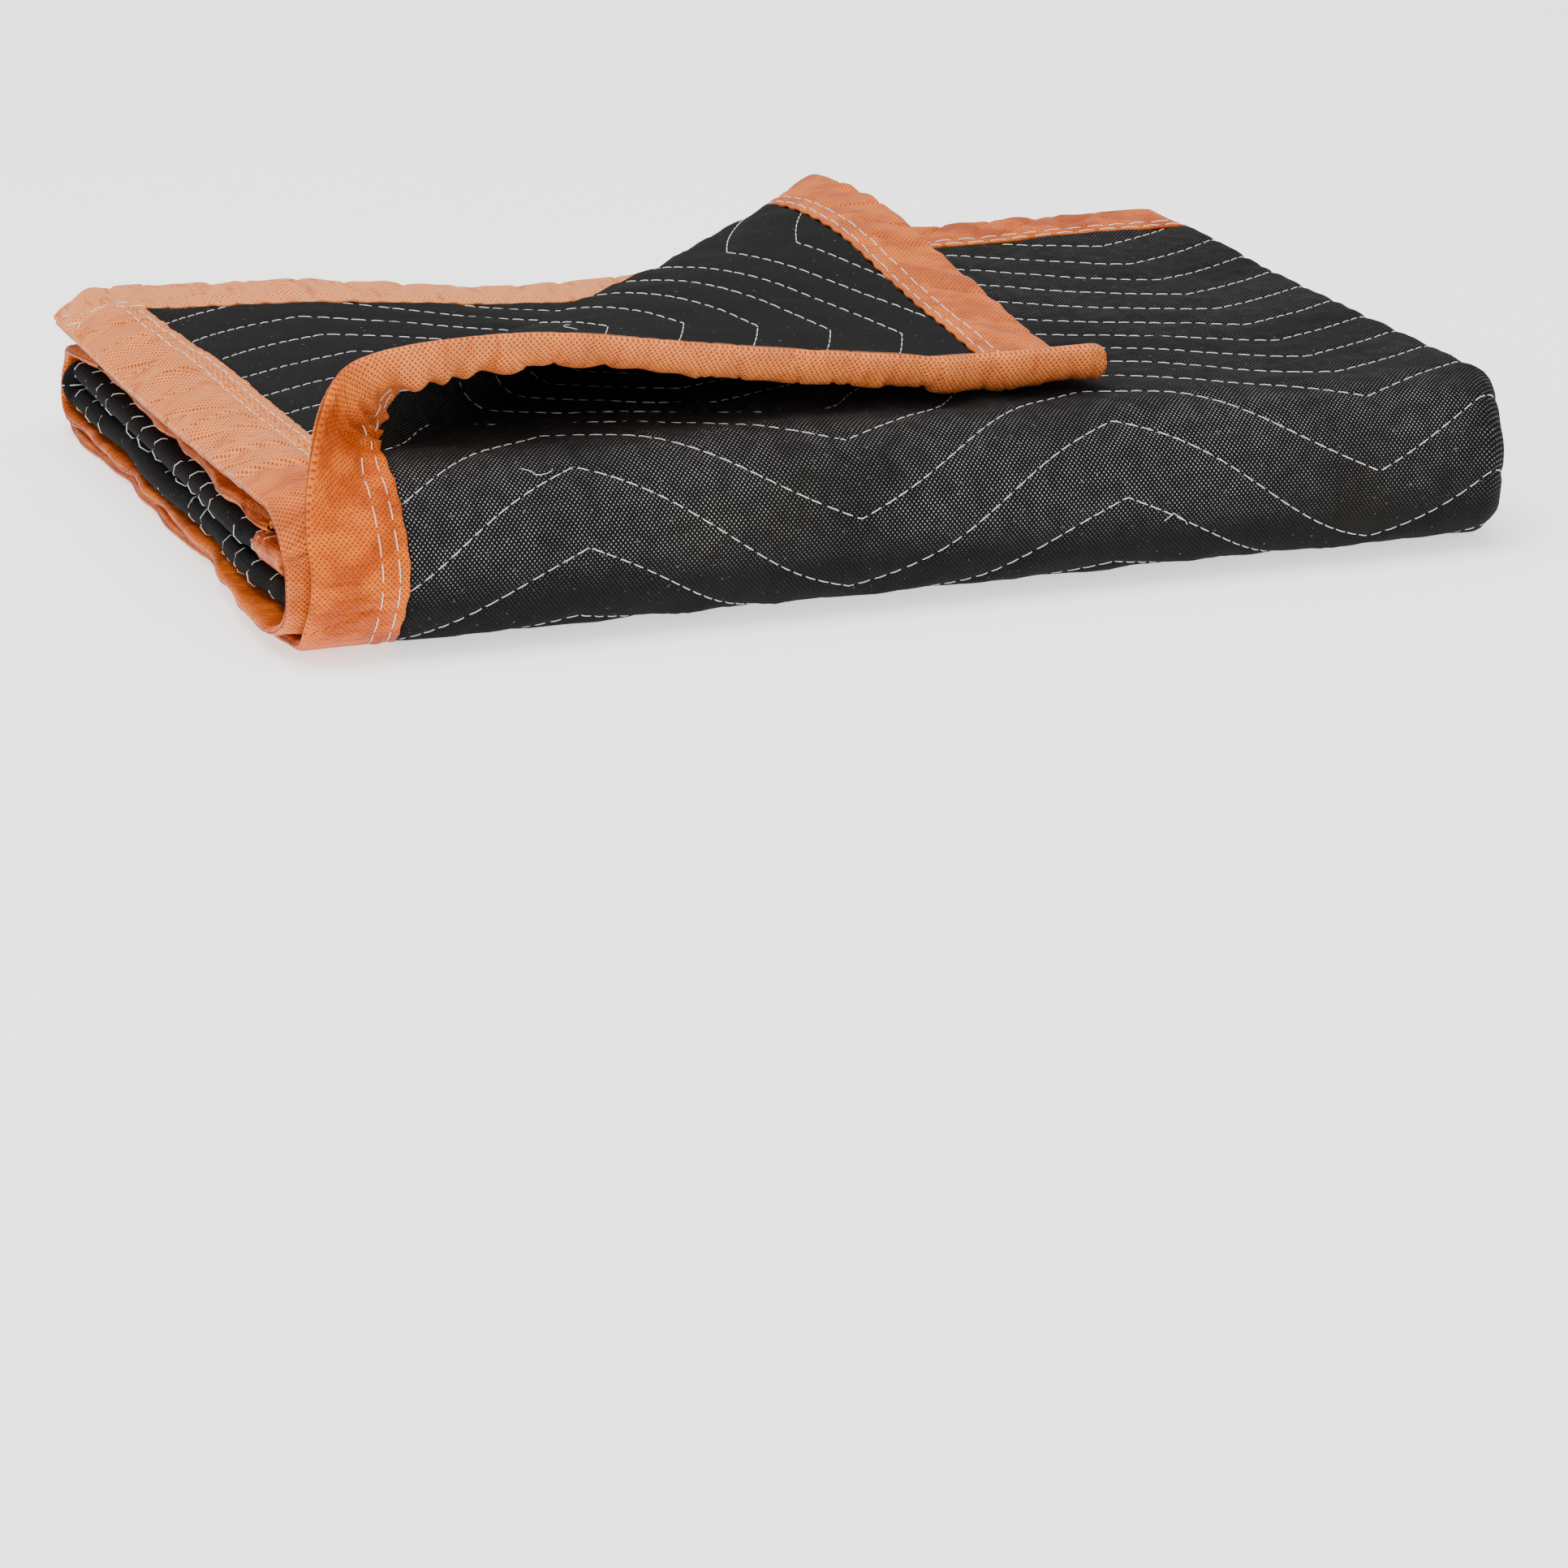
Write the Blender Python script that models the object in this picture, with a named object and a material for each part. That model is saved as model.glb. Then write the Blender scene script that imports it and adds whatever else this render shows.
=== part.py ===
"""A quilted moving pad, folded into twelve layers, with one corner of the outermost layer turned back.

The pad is first laid out flat, with u along its length and v across its width, and h is the height above the
middle of the cloth. Every point of the pad and of its binding is then folded: in four along the length, in three
across the width, and last the corner that is turned back over the top.
"""

import math

import bmesh
import bpy
import numpy as np

# The flat pad, in metres.
PAD_LENGTH = 1.829
PAD_WIDTH = 1.016
CLOTH = 0.0039
SEAM_CLOTH = 0.0022
BINDING_WIDTH = 0.035
BINDING_CLOTH = 0.0010
CLEARANCE = 0.0003
EDGE_CLOTH = CLOTH - 2 * (BINDING_CLOTH + CLEARANCE)

# Quilting: zigzag lines that run along the length.
QUILT_PITCH = 0.0295
QUILT_START = 0.025
WAVE_LENGTH = 0.205
WAVE_HEIGHT = 0.058
WAVE_PEAK = 0.100
WAVE_SOFTNESS = 0.25
WAVE_RAMP = 0.075

# The folded stack. A pitch is the step from one layer to the next.
LAYERS_PER_PANEL = 4
HALF_TURN_LEVELS = (3, 1, 1)
TURN_PITCH = 0.0050
OUTER_EDGE_X = -0.0065
INNER_EDGE_X = -0.014
HALF_FOLD_X = 0.0065
TOP_DEPTH = 0.304
BASE_DEPTH = 0.300
CENTRE_X = 0.2198
CENTRE_Y = 0.1435
FRONT_PITCH = 0.0056
BACK_PITCH = 0.0048
FRONT_CENTRE = 6.0

# Pitch of the layers: depth, then the pitch at the left, middle and right.
PITCH_TABLE = (
    (0.000, 0.0058, 0.0056, 0.0054),
    (0.150, 0.0054, 0.0049, 0.0048),
    (0.300, 0.0054, 0.0047, 0.0046),
)

# Where the free edge of the middle panel ends: level of the layer, then the depth of the edge.
MIDDLE_EDGE_TABLE = (
    (0.5, 0.009),
    (2.5, 0.009),
    (3.5, 0.024),
)

# The corner that is turned back. Its crease runs from the left end, partway down the front fold, to the back
# edge. The cloth rolls over it, rises in a soft arch and slopes down to rest near its tip.
CREASE_START_Y = -0.0395
CREASE_END_X = 0.323
ROLL_RADII = (0.0143, 0.0128, 0.0175)
ROLL_START_SHARE = 0.5
ROLL_OPENS = 0.056
ROLL_RISE = math.radians(13.5)
ARCH_RADIUS = 0.138
ROLL_DESCENT = math.radians(11.8)
LANDING_RADIUS = 0.060
LANDED_HEIGHT = 0.0070
LIP_WIDTH = 0.0175
LIP_TURN = math.radians(86)
LIP_STARTS = 0.005
LIP_FULL = 0.060

# The right end is drawn in a little toward the front and back folds.
TUCK = 0.0045
TUCK_FROM_X = 0.340
TUCK_SPAN = 0.100
TUCK_FRONT_SPAN = 0.030
TUCK_BACK_SPAN = 0.060

# The bound end of the second layer droops past the end of the stack, and its lower part is drawn in.
END_SLANT = 0.006
SECOND_LEVEL = 2.5
LEVEL_BLEND = 0.4
DROOP_FROM = 0.0035
DROOP_SPAN = 0.0175
DROOP_DEPTH = 0.006
DROOP_MORE_AT_BACK = 0.5

# Grid of the cloth: how finely the flat pad is divided before it is folded.
FLAP_STEP = WAVE_LENGTH / 16
MARGIN = BINDING_WIDTH
CLEAR_OF_BINDING = BINDING_WIDTH + 0.0025
BENDS = 3
FLAP_REACH = 0.345
BEND_REACH = 0.345
SECOND_REACH = 0.300
DIFFERENCE = 2e-5


def half_turn(levels):
    """Length of cloth in a half circle across so many levels."""
    return math.pi * abs(levels) / 2 * TURN_PITCH


def right_end():
    """Where the straight runs end at the right, so that the four runs and three turns use up the length."""
    turns = sum(half_turn(levels) for levels in HALF_TURN_LEVELS)
    return (PAD_LENGTH - turns + 2 * HALF_FOLD_X + INNER_EDGE_X + OUTER_EDGE_X) / LAYERS_PER_PANEL


RIGHT_END = right_end()

# Path of the cloth along its length: from x and level to x and level. A change of level is a half turn.
LENGTH_PATH = (
    (OUTER_EDGE_X, 3.5, RIGHT_END, 3.5),
    (RIGHT_END, 3.5, RIGHT_END, 0.5),
    (RIGHT_END, 0.5, HALF_FOLD_X, 0.5),
    (HALF_FOLD_X, 0.5, HALF_FOLD_X, 1.5),
    (HALF_FOLD_X, 1.5, RIGHT_END, 1.5),
    (RIGHT_END, 1.5, RIGHT_END, 2.5),
    (RIGHT_END, 2.5, INNER_EDGE_X, 2.5),
)


def path_lengths():
    lengths = []
    for x0, q0, x1, q1 in LENGTH_PATH:
        lengths.append(half_turn(q1 - q0) if q0 != q1 else abs(x1 - x0))
    return lengths


OUTER_LEVEL = LENGTH_PATH[0][1]
PATH_STARTS = np.concatenate(([0.0], np.cumsum(path_lengths())))
PATH_END = float(PATH_STARTS[-1])


def smooth(t):
    t = np.clip(t, 0.0, 1.0)
    return t * t * (3 - 2 * t)


def through_three(t, a, b, c):
    """A parabola through a at 0, b at a half and c at 1."""
    return a * (1 - t) * (1 - 2 * t) + 4 * b * t * (1 - t) + c * t * (2 * t - 1)


def pitch(x, y):
    """Step from one layer to the next, which is loose at the left and front and tight at the back."""
    across = np.clip(x / RIGHT_END, 0.0, 1.0)
    back = np.clip(y / PITCH_TABLE[-1][0], 0.0, 1.0)
    rows = [through_three(across, *row[1:]) for row in PITCH_TABLE]
    return through_three(back, *rows)


def fold_length(u):
    """The four panels along the length: x, how far a turn bulges past it in pitches, and the level."""
    x = np.zeros_like(u)
    bulge = np.zeros_like(u)
    level = np.zeros_like(u)
    for step, (x0, q0, x1, q1) in enumerate(LENGTH_PATH):
        begin, end = PATH_STARTS[step], PATH_STARTS[step + 1]
        here = (u >= begin) if step else (u >= -1.0)
        part = np.clip((u[here] - begin) / (end - begin), 0.0, 1.0)
        angle = math.pi * part
        side = 1.0 if x0 == RIGHT_END else -1.0
        x[here] = x0 + (x1 - x0) * part
        bulge[here] = side * abs(q1 - q0) / 2 * np.sin(angle) if q0 != q1 else 0.0
        level[here] = (q0 + q1) / 2 + (q0 - q1) / 2 * np.cos(angle)
    return x, bulge, level


def width_marks(q):
    """Where the front fold begins and ends across the width, and then the back fold, for a layer at level q."""
    wide = np.maximum(q, 2.0)
    front_arc = math.pi * (wide + 2) * FRONT_PITCH
    back_arc = math.pi * wide * BACK_PITCH
    base = TOP_DEPTH + front_arc
    back = base + BASE_DEPTH
    return TOP_DEPTH, base, back, back + back_arc


def fold_width(v, q):
    """The three panels across the width: y, how far a fold bulges past it in pitches, and the layer's level."""
    front, base, back, middle = width_marks(q)
    front_arc = base - front
    back_arc = middle - back
    edge = np.interp(q, *zip(*MIDDLE_EDGE_TABLE))
    squeeze = (BASE_DEPTH - edge) / (PAD_WIDTH - middle)
    front_angle = math.pi * np.clip((v - front) / front_arc, 0.0, 1.0)
    back_angle = math.pi * np.clip((v - back) / back_arc, 0.0, 1.0)
    y = np.where(v < front, front - v, np.where(v < back, np.maximum(v - base, 0.0), BASE_DEPTH))
    y = np.where(v > middle, BASE_DEPTH - (v - middle) * squeeze, y)
    bulge = -(q + 2) * np.sin(front_angle) + q * np.sin(back_angle)
    front_level = FRONT_CENTRE + (q + 2) * np.cos(front_angle)
    back_level = LAYERS_PER_PANEL - q * np.cos(back_angle)
    level = np.where(v < back, front_level, back_level)
    return y, bulge, level


def stack_point(x, side, q, v):
    """Middle of the cloth in the stack, before the corner is turned back."""
    y, bulge, level = fold_width(v, q)
    step = pitch(x, y)
    height = (level - 0.5) * step + CLOTH / 2
    return np.stack([x + side * step, y + bulge * step, height], axis=-1)


def tuck(points):
    """Draw the right end in toward the front and back folds."""
    outward = smooth((points[:, 0] - TUCK_FROM_X) / TUCK_SPAN)
    front = smooth(-points[:, 1] / TUCK_FRONT_SPAN)
    back = smooth((points[:, 1] - BASE_DEPTH + TUCK_BACK_SPAN) / TUCK_BACK_SPAN)
    points[:, 0] -= TUCK * outward * (front + back)
    return points


def slant(points, q):
    """Draw the lower part of the second layer's end in, under its upper part."""
    near_end = smooth((0.100 - points[:, 0]) / 0.100)
    low = smooth((0.046 - points[:, 2]) / 0.020) * smooth((points[:, 1] - 0.020) / 0.100)
    own = smooth(1 - np.abs(q - SECOND_LEVEL) / LEVEL_BLEND)
    points[:, 0] += END_SLANT * near_end * low * own
    return points


def droop(points, q):
    """Let the bound end of the second layer sink where nothing holds it up."""
    past = np.clip((DROOP_FROM - points[:, 0]) / DROOP_SPAN, 0.0, 1.2)
    top = smooth((points[:, 2] - 0.035) / 0.012)
    own = smooth(1 - np.abs(q - SECOND_LEVEL) / LEVEL_BLEND)
    more = 1 + DROOP_MORE_AT_BACK * np.clip(points[:, 1] / BASE_DEPTH, 0.0, 1.0)
    points[:, 2] -= DROOP_DEPTH * more * past ** 1.5 * top * own
    return points


def roll_profile(along, radius):
    """Section of the roll at the crease: distance past the crease, height and direction."""
    first_turn = math.pi - ROLL_RISE
    arch_turn = ROLL_RISE + ROLL_DESCENT
    top = radius * (1 + math.cos(ROLL_RISE)) + ARCH_RADIUS * (math.cos(ROLL_DESCENT) - math.cos(ROLL_RISE))
    slope = (top - LANDED_HEIGHT - LANDING_RADIUS * (1 - math.cos(ROLL_DESCENT))) / math.sin(ROLL_DESCENT)
    past_arc = along - radius * first_turn
    past_arch = past_arc - ARCH_RADIUS * arch_turn
    past_slope = past_arch - slope
    on_arc = np.minimum(along / radius, first_turn)
    on_arch = np.clip(past_arc / ARCH_RADIUS, 0.0, arch_turn)
    on_slope = np.clip(past_arch, 0.0, slope)
    landing = np.clip(past_slope / LANDING_RADIUS, 0.0, ROLL_DESCENT)
    flat = np.maximum(past_slope - LANDING_RADIUS * ROLL_DESCENT, 0.0)
    left = ROLL_DESCENT - landing
    distance = radius * np.sin(on_arc) + ARCH_RADIUS * (np.sin(first_turn + on_arch) - math.sin(first_turn))
    distance = distance - math.cos(ROLL_DESCENT) * on_slope
    distance = distance - LANDING_RADIUS * (math.sin(ROLL_DESCENT) - np.sin(left)) - flat
    height = radius * (1 - np.cos(on_arc)) + ARCH_RADIUS * (math.cos(first_turn) - np.cos(first_turn + on_arch))
    height = height - math.sin(ROLL_DESCENT) * on_slope
    height = height - LANDING_RADIUS * (np.cos(left) - math.cos(ROLL_DESCENT))
    return distance, height, on_arc + on_arch - landing


def turned_corner(u, v):
    """The corner of the outermost layer, turned back over a soft roll, with its bound front edge curled up."""
    start = np.array([OUTER_EDGE_X, CREASE_START_Y])
    end = np.array([CREASE_END_X, TOP_DEPTH])
    crease_length = math.hypot(*(end - start))
    along_x, along_y = (end - start) / crease_length
    y = TOP_DEPTH - v
    up_edge = y - CREASE_START_Y
    turn = LIP_TURN * smooth((up_edge - LIP_STARTS) / (LIP_FULL - LIP_STARTS))
    turn = np.maximum(turn, 1e-6)
    lip_radius = LIP_WIDTH / turn
    into_lip = np.maximum(LIP_WIDTH - u, 0.0)
    lip_u = np.where(u < LIP_WIDTH, LIP_WIDTH - lip_radius * np.sin(into_lip / lip_radius), u)
    lip_rise = lip_radius * (1 - np.cos(into_lip / lip_radius))
    along = lip_u * along_x + (y - start[1]) * along_y
    past = (y - start[1]) * along_x - lip_u * along_y
    share = np.clip(along / crease_length, 0.0, 1.0)
    radius = through_three(share, *ROLL_RADII)
    radius = radius * (ROLL_START_SHARE + (1 - ROLL_START_SHARE) * smooth(along / ROLL_OPENS))
    distance, height, angle = roll_profile(np.maximum(past, 0.0), radius)
    distance = distance + lip_rise * np.sin(angle)
    height = height - lip_rise * np.cos(angle)
    new_x = start[0] + along * along_x - distance * along_y
    new_y = start[1] + along * along_y + distance * along_x
    level = np.full_like(u, OUTER_LEVEL)
    points = stack_point(new_x, np.zeros_like(u), level, TOP_DEPTH - new_y)
    points[:, 2] += height
    return points, past > 0


def cloth_middle(u, v):
    """Middle of the folded cloth at the flat point u, v."""
    x, side, q = fold_length(u)
    points = slant(tuck(droop(stack_point(x, side, q, v), q)), q)
    candidate = (u < CREASE_END_X - OUTER_EDGE_X) & (v < TOP_DEPTH - CREASE_START_Y)
    if candidate.any():
        turned, past = turned_corner(u[candidate], v[candidate])
        mine = points[candidate]
        mine[past] = turned[past]
        points[candidate] = mine
    return points


def unit(vectors):
    return vectors / np.linalg.norm(vectors, axis=1)[:, None]


def fold(u, v, h):
    """Folded place of the flat points u, v, h. Points past the cloth's edge carry on straight from it."""
    inner_u = np.clip(u, 0.0, PAD_LENGTH)
    inner_v = np.clip(v, 0.0, PAD_WIDTH)
    low_u = np.maximum(inner_u - DIFFERENCE, 0.0)
    high_u = np.minimum(inner_u + DIFFERENCE, PAD_LENGTH)
    low_v = np.maximum(inner_v - DIFFERENCE, 0.0)
    high_v = np.minimum(inner_v + DIFFERENCE, PAD_WIDTH)
    along_u = unit(cloth_middle(high_u, inner_v) - cloth_middle(low_u, inner_v))
    along_v = unit(cloth_middle(inner_u, high_v) - cloth_middle(inner_u, low_v))
    normal = unit(np.cross(along_v, along_u))
    points = cloth_middle(inner_u, inner_v)
    points = points + along_u * (u - inner_u)[:, None] + along_v * (v - inner_v)[:, None]
    return points + normal * h[:, None] - np.array([CENTRE_X, CENTRE_Y, 0.0])


def wave(u):
    """Zigzag of the quilting: how far a line lies from its middle, with legs that soften at the corners."""
    phase = np.mod((u - WAVE_PEAK) / WAVE_LENGTH, 1.0)
    rise = 1 - np.abs(2 * phase - 1)
    rise = rise - WAVE_SOFTNESS * np.sin(2 * math.pi * rise) / (2 * math.pi)
    return WAVE_HEIGHT * (rise - 0.5)


def cloth_thickness(u, v):
    """Thick between the quilting lines, thin on them, and pressed thin under the binding."""
    from_edge = np.minimum(np.minimum(u, PAD_LENGTH - u), np.minimum(v, PAD_WIDTH - v))
    phase = (v - QUILT_START - wave(u)) / QUILT_PITCH
    puff = np.abs(np.sin(math.pi * phase)) ** 0.7
    thick = SEAM_CLOTH + (CLOTH - SEAM_CLOTH) * puff
    x, side, q = fold_length(u)
    y, bulge, level = fold_width(v, q)
    resting = (level < 0.6) & (np.abs(bulge) < 0.01)
    buried = (q < 2.2) & (bulge == 0) & (side == 0)
    thick = np.where(resting | buried, CLOTH, thick)
    return np.where(from_edge < (MARGIN + CLEAR_OF_BINDING) / 2, EDGE_CLOTH, thick)


def runs(*stops):
    """Division points through the stops, given as value, number of steps, value, number of steps, value."""
    points = [stops[0]]
    for count, stop in zip(stops[1::2], stops[2::2]):
        points.extend(np.linspace(points[-1], stop, count + 1)[1:])
    return points


def columns():
    """Division of the length, as pairs of u and the kind of the stretch that begins there."""
    starts = PATH_STARTS
    fine = round((FLAP_REACH - CLEAR_OF_BINDING) / FLAP_STEP)
    second_fine = starts[6] + (RIGHT_END - SECOND_REACH)
    result = []
    for kind, values in (
        ("lip", runs(0.0, 3, LIP_WIDTH)),
        ("edge", [MARGIN, CLEAR_OF_BINDING]),
        ("flap", runs(CLEAR_OF_BINDING, fine, FLAP_REACH)[1:]),
        ("outer", runs(FLAP_REACH, 4, RIGHT_END)[1:]),
        ("turn", runs(RIGHT_END, 8, starts[2])[1:]),
        ("buried", runs(starts[2], 4, starts[3])[1:]),
        ("turn", runs(starts[3], 4, starts[4])[1:]),
        ("buried", runs(starts[4], 4, starts[5])[1:]),
        ("turn", runs(starts[5], 4, starts[6])[1:]),
        ("buried", runs(starts[6], 2, second_fine)[1:]),
        ("second", runs(second_fine, 9, PAD_LENGTH - CLEAR_OF_BINDING)[1:-1]),
        ("edge", [PAD_LENGTH - CLEAR_OF_BINDING, PAD_LENGTH - MARGIN]),
        ("end", [PAD_LENGTH - MARGIN / 2, PAD_LENGTH]),
    ):
        result.extend((float(u), kind) for u in values)
    return result


def rows():
    """Division of the width of the outermost layer, as pairs of v and the kind of the stretch it lies in."""
    front_start, front_end, back_start, back_end = width_marks(OUTER_LEVEL)
    half = QUILT_PITCH / 2
    quilted = np.arange(QUILT_START + QUILT_PITCH, TOP_DEPTH, half)
    front = np.arange(quilted[-1] + half / 2, front_end + half, half / 2)
    result = []
    for kind, values in (
        ("margin", runs(0.0, 3, MARGIN)),
        ("edge", [CLEAR_OF_BINDING]),
        ("top", quilted),
        ("bend", front[front < BEND_REACH]),
        ("front", front[front >= BEND_REACH]),
        ("base", runs(front[-1], 4, back_start)[1:-1]),
        ("back", runs(back_start, 8, back_end)),
        ("middle", runs(back_end, 2, PAD_WIDTH - CLEAR_OF_BINDING)[1:-1]),
        ("edge", [PAD_WIDTH - CLEAR_OF_BINDING, PAD_WIDTH - MARGIN, PAD_WIDTH]),
    ):
        result.extend((float(v), kind) for v in values)
    return result


COLUMNS = columns()
ROWS = rows()


def row_kept(row, column_kind):
    """Whether a line across the cloth is kept in a stretch of its length."""
    v, kind = ROWS[row]
    if kind == "margin" and 0 < v < MARGIN:
        return column_kind in ("lip", "edge", "flap")
    if kind == "top" and column_kind not in ("lip", "edge", "flap", "outer", "second", "end"):
        return row % 5 == 0
    return True


def column_kept(column, row_kind):
    """Whether a line along the cloth is kept in a stretch of its width."""
    kind = COLUMNS[column][1]
    if kind == "lip":
        return column == 0 or row_kind in ("top", "bend")
    if kind == "flap" and row_kind == "front":
        return column % 2 == 0
    if kind == "flap" and row_kind == "back":
        return column % 4 == 0
    if kind == "flap" and row_kind == "middle":
        return column % 8 == 0
    if kind == "second" and row_kind != "top":
        return column % 3 == 0
    if kind == "end":
        return row_kind in ("top", "bend")
    return True


def row_between(row):
    """Kind of the stretch of width between a row and the next."""
    first, second = ROWS[row][1], ROWS[row + 1][1]
    if "top" in (first, second) or first == "margin":
        return "top"
    if "bend" in (first, second):
        return "bend"
    if "front" in (first, second):
        return "front"
    if "back" in (first, second):
        return "back"
    return "middle"


def shifted_row(u, v):
    """Place a row at u: at the same turn of each fold in every layer, and along the quilting on the top."""
    level = fold_length(np.array([u]))[2][0]
    last = (PAD_WIDTH - CLEAR_OF_BINDING, PAD_WIDTH)
    outer_marks = (0.0, *width_marks(OUTER_LEVEL), *last)
    own_marks = (0.0, *width_marks(level), *last)
    own = np.interp(v, outer_marks, own_marks)
    outermost = smooth((RIGHT_END + half_turn(3) - u) / half_turn(2))
    second = smooth((u - PATH_STARTS[6]) / WAVE_RAMP)
    strength = smooth((v - CLEAR_OF_BINDING) / WAVE_RAMP) * smooth((TOP_DEPTH - v) / WAVE_RAMP)
    return float(own + strength * wave(u) * (outermost + second))


def split_quads(bm):
    """Cut every flat quad along the same diagonal, so that cloth and binding bend alike when folded."""
    for face in list(bm.faces):
        corners = sorted(face.verts, key=lambda vert: vert.co.x + vert.co.y)
        level = max(vert.co.z for vert in corners) - min(vert.co.z for vert in corners)
        if len(corners) == 4 and level < 1e-7 and not bm.edges.get((corners[0], corners[3])):
            bmesh.utils.face_split(face, corners[0], corners[3])
    bmesh.ops.triangulate(bm, faces=bm.faces)


def fold_mesh(bm):
    """Fold every vertex of a flat mesh to its place. Its axes are v, u and h, so faces stay outward."""
    flat = np.array([vert.co for vert in bm.verts], dtype=float)
    folded = fold(flat[:, 1], flat[:, 0], flat[:, 2])
    for vert, place in zip(bm.verts, folded):
        vert.co = place


def finish(bm, name, material, collection):
    mesh = bpy.data.meshes.new(name)
    bm.to_mesh(mesh)
    bm.free()
    mesh.shade_smooth()
    mesh.set_sharp_from_angle(angle=math.radians(50))
    mesh.materials.append(material)
    part = bpy.data.objects.new(name, mesh)
    collection.objects.link(part)


def flat_grid():
    """The flat pad as one sheet of faces, without the lines that the buried layers don't need."""
    bm = bmesh.new()
    last_column, last_row = len(COLUMNS) - 1, len(ROWS) - 1
    bmesh.ops.create_grid(bm, x_segments=last_column, y_segments=last_row, size=0.5)
    place = {}
    for vert in bm.verts:
        column = round((vert.co.x + 0.5) * last_column)
        row = round((vert.co.y + 0.5) * last_row)
        place[vert] = (column, row)
    spare = []
    for edge in bm.edges:
        (c0, r0), (c1, r1) = (place[vert] for vert in edge.verts)
        if r0 == r1 and 0 < r0 < last_row and not row_kept(r0, COLUMNS[max(c0, c1)][1]):
            spare.append(edge)
        if c0 == c1 and 0 < c0 < last_column and not column_kept(c0, row_between(min(r0, r1))):
            spare.append(edge)
    for vert, (column, row) in place.items():
        u = COLUMNS[column][0]
        vert.co = (shifted_row(u, ROWS[row][0]), u, 0.0)
    bmesh.ops.dissolve_edges(bm, edges=spare, use_verts=True)
    split_quads(bm)
    return bm


def quilted_pad(material, collection):
    bm = flat_grid()
    raised = bmesh.ops.extrude_face_region(bm, geom=bm.faces[:])["geom"]
    upper = {item for item in raised if isinstance(item, bmesh.types.BMVert)}
    flat = np.array([vert.co for vert in bm.verts], dtype=float)
    half = cloth_thickness(flat[:, 1], flat[:, 0]) / 2
    for vert, height in zip(bm.verts, half):
        vert.co.z = height if vert in upper else -height
    bmesh.ops.recalc_face_normals(bm, faces=bm.faces)
    fold_mesh(bm)
    finish(bm, "quilted_pad", material, collection)


def binding_section(stops):
    """Closed U section of the binding, as pairs of distance in from the cloth's edge and height."""
    inner = EDGE_CLOTH / 2 + CLEARANCE
    outer = inner + BINDING_CLOTH
    bend = [math.pi * step / BENDS for step in range(1, BENDS)]
    section = [(stop, outer) for stop in stops]
    section.extend((-outer * math.sin(angle), outer * math.cos(angle)) for angle in bend)
    section.extend((stop, -outer) for stop in reversed(stops))
    section.extend((stop, -inner) for stop in stops)
    section.extend((-inner * math.sin(angle), inner * math.cos(angle)) for angle in reversed(bend))
    section.extend((stop, inner) for stop in reversed(stops))
    return section


def binding(name, stations, stops, to_flat, plain, material, collection):
    """A strip of binding: its U section carried along the stations of one edge, closed at both ends.

    Beyond the station that plain names, the section keeps only its first and last stops.
    """
    bm = bmesh.new()
    section = binding_section(stops)
    rings = []
    for station in stations:
        rings.append([bm.verts.new(to_flat(station, inward, height)) for inward, height in section])
    spare = []
    for place, (first, second) in enumerate(zip(rings, rings[1:])):
        for index, (inward, height) in enumerate(section):
            after = (index + 1) % len(section)
            bm.faces.new((first[index], first[after], second[after], second[index]))
            if stations[place] > plain - 1e-9 and stops[-1] < inward < stops[0]:
                spare.append((first[index], second[index]))
    bm.faces.new(rings[0])
    bm.faces.new(reversed(rings[-1]))
    bmesh.ops.dissolve_edges(bm, edges=[bm.edges.get(pair) for pair in spare], use_verts=True)
    bmesh.ops.recalc_face_normals(bm, faces=bm.faces)
    split_quads(bm)
    fold_mesh(bm)
    finish(bm, name, material, collection)


def kept_columns(row_kind):
    return [COLUMNS[c][0] for c in range(len(COLUMNS)) if column_kept(c, row_kind)]


def kept_rows(column_kind):
    inside = [ROWS[r][0] for r in range(len(ROWS)) if row_kept(r, column_kind)]
    return [v for v in inside if MARGIN + 1e-6 < v < PAD_WIDTH - MARGIN - 1e-6]


def outer_end(row, inward, height):
    return shifted_row(max(inward, 0.0), row), inward, height


def inner_end(row, inward, height):
    u = PAD_LENGTH - inward
    return shifted_row(min(u, PAD_LENGTH), row), u, height


def outer_side(u, inward, height):
    return inward, u, height


def inner_side(u, inward, height):
    return PAD_WIDTH - inward, u, height


def bindings(material, collection):
    wide = (MARGIN, 0.0)
    drooping = (MARGIN, MARGIN / 2, 0.0)
    lip = (MARGIN, LIP_WIDTH, LIP_WIDTH * 2 / 3, LIP_WIDTH / 3, 0.0)
    rolled = (MARGIN, MARGIN * 2 / 3, MARGIN / 3, 0.0)
    paint = (material, collection)
    binding("end_binding_outer", kept_rows("lip"), lip, outer_end, BEND_REACH, *paint)
    binding("end_binding_inner", kept_rows("end"), drooping, inner_end, BEND_REACH, *paint)
    binding("side_binding_outer", kept_columns("top"), rolled, outer_side, FLAP_REACH, *paint)
    binding("side_binding_inner", kept_columns("middle"), wide, inner_side, PATH_END, *paint)


def make_material(name, colour, roughness):
    material = bpy.data.materials.new(name)
    material.use_nodes = True
    shader = material.node_tree.nodes["Principled BSDF"]
    shader.inputs["Base Color"].default_value = (*colour, 1.0)
    shader.inputs["Roughness"].default_value = roughness
    shader.inputs["Metallic"].default_value = 0.0
    material.diffuse_color = (*colour, 1.0)
    return material


def main():
    for old in list(bpy.data.objects):
        bpy.data.objects.remove(old)
    collection = bpy.data.collections.new("moving_pad")
    bpy.context.scene.collection.children.link(collection)
    black = make_material("black_nonwoven", (0.012, 0.012, 0.013), 0.9)
    orange = make_material("orange_binding", (0.78, 0.20, 0.035), 0.6)
    quilted_pad(black, collection)
    bindings(orange, collection)


main()
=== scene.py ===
import math

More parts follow.
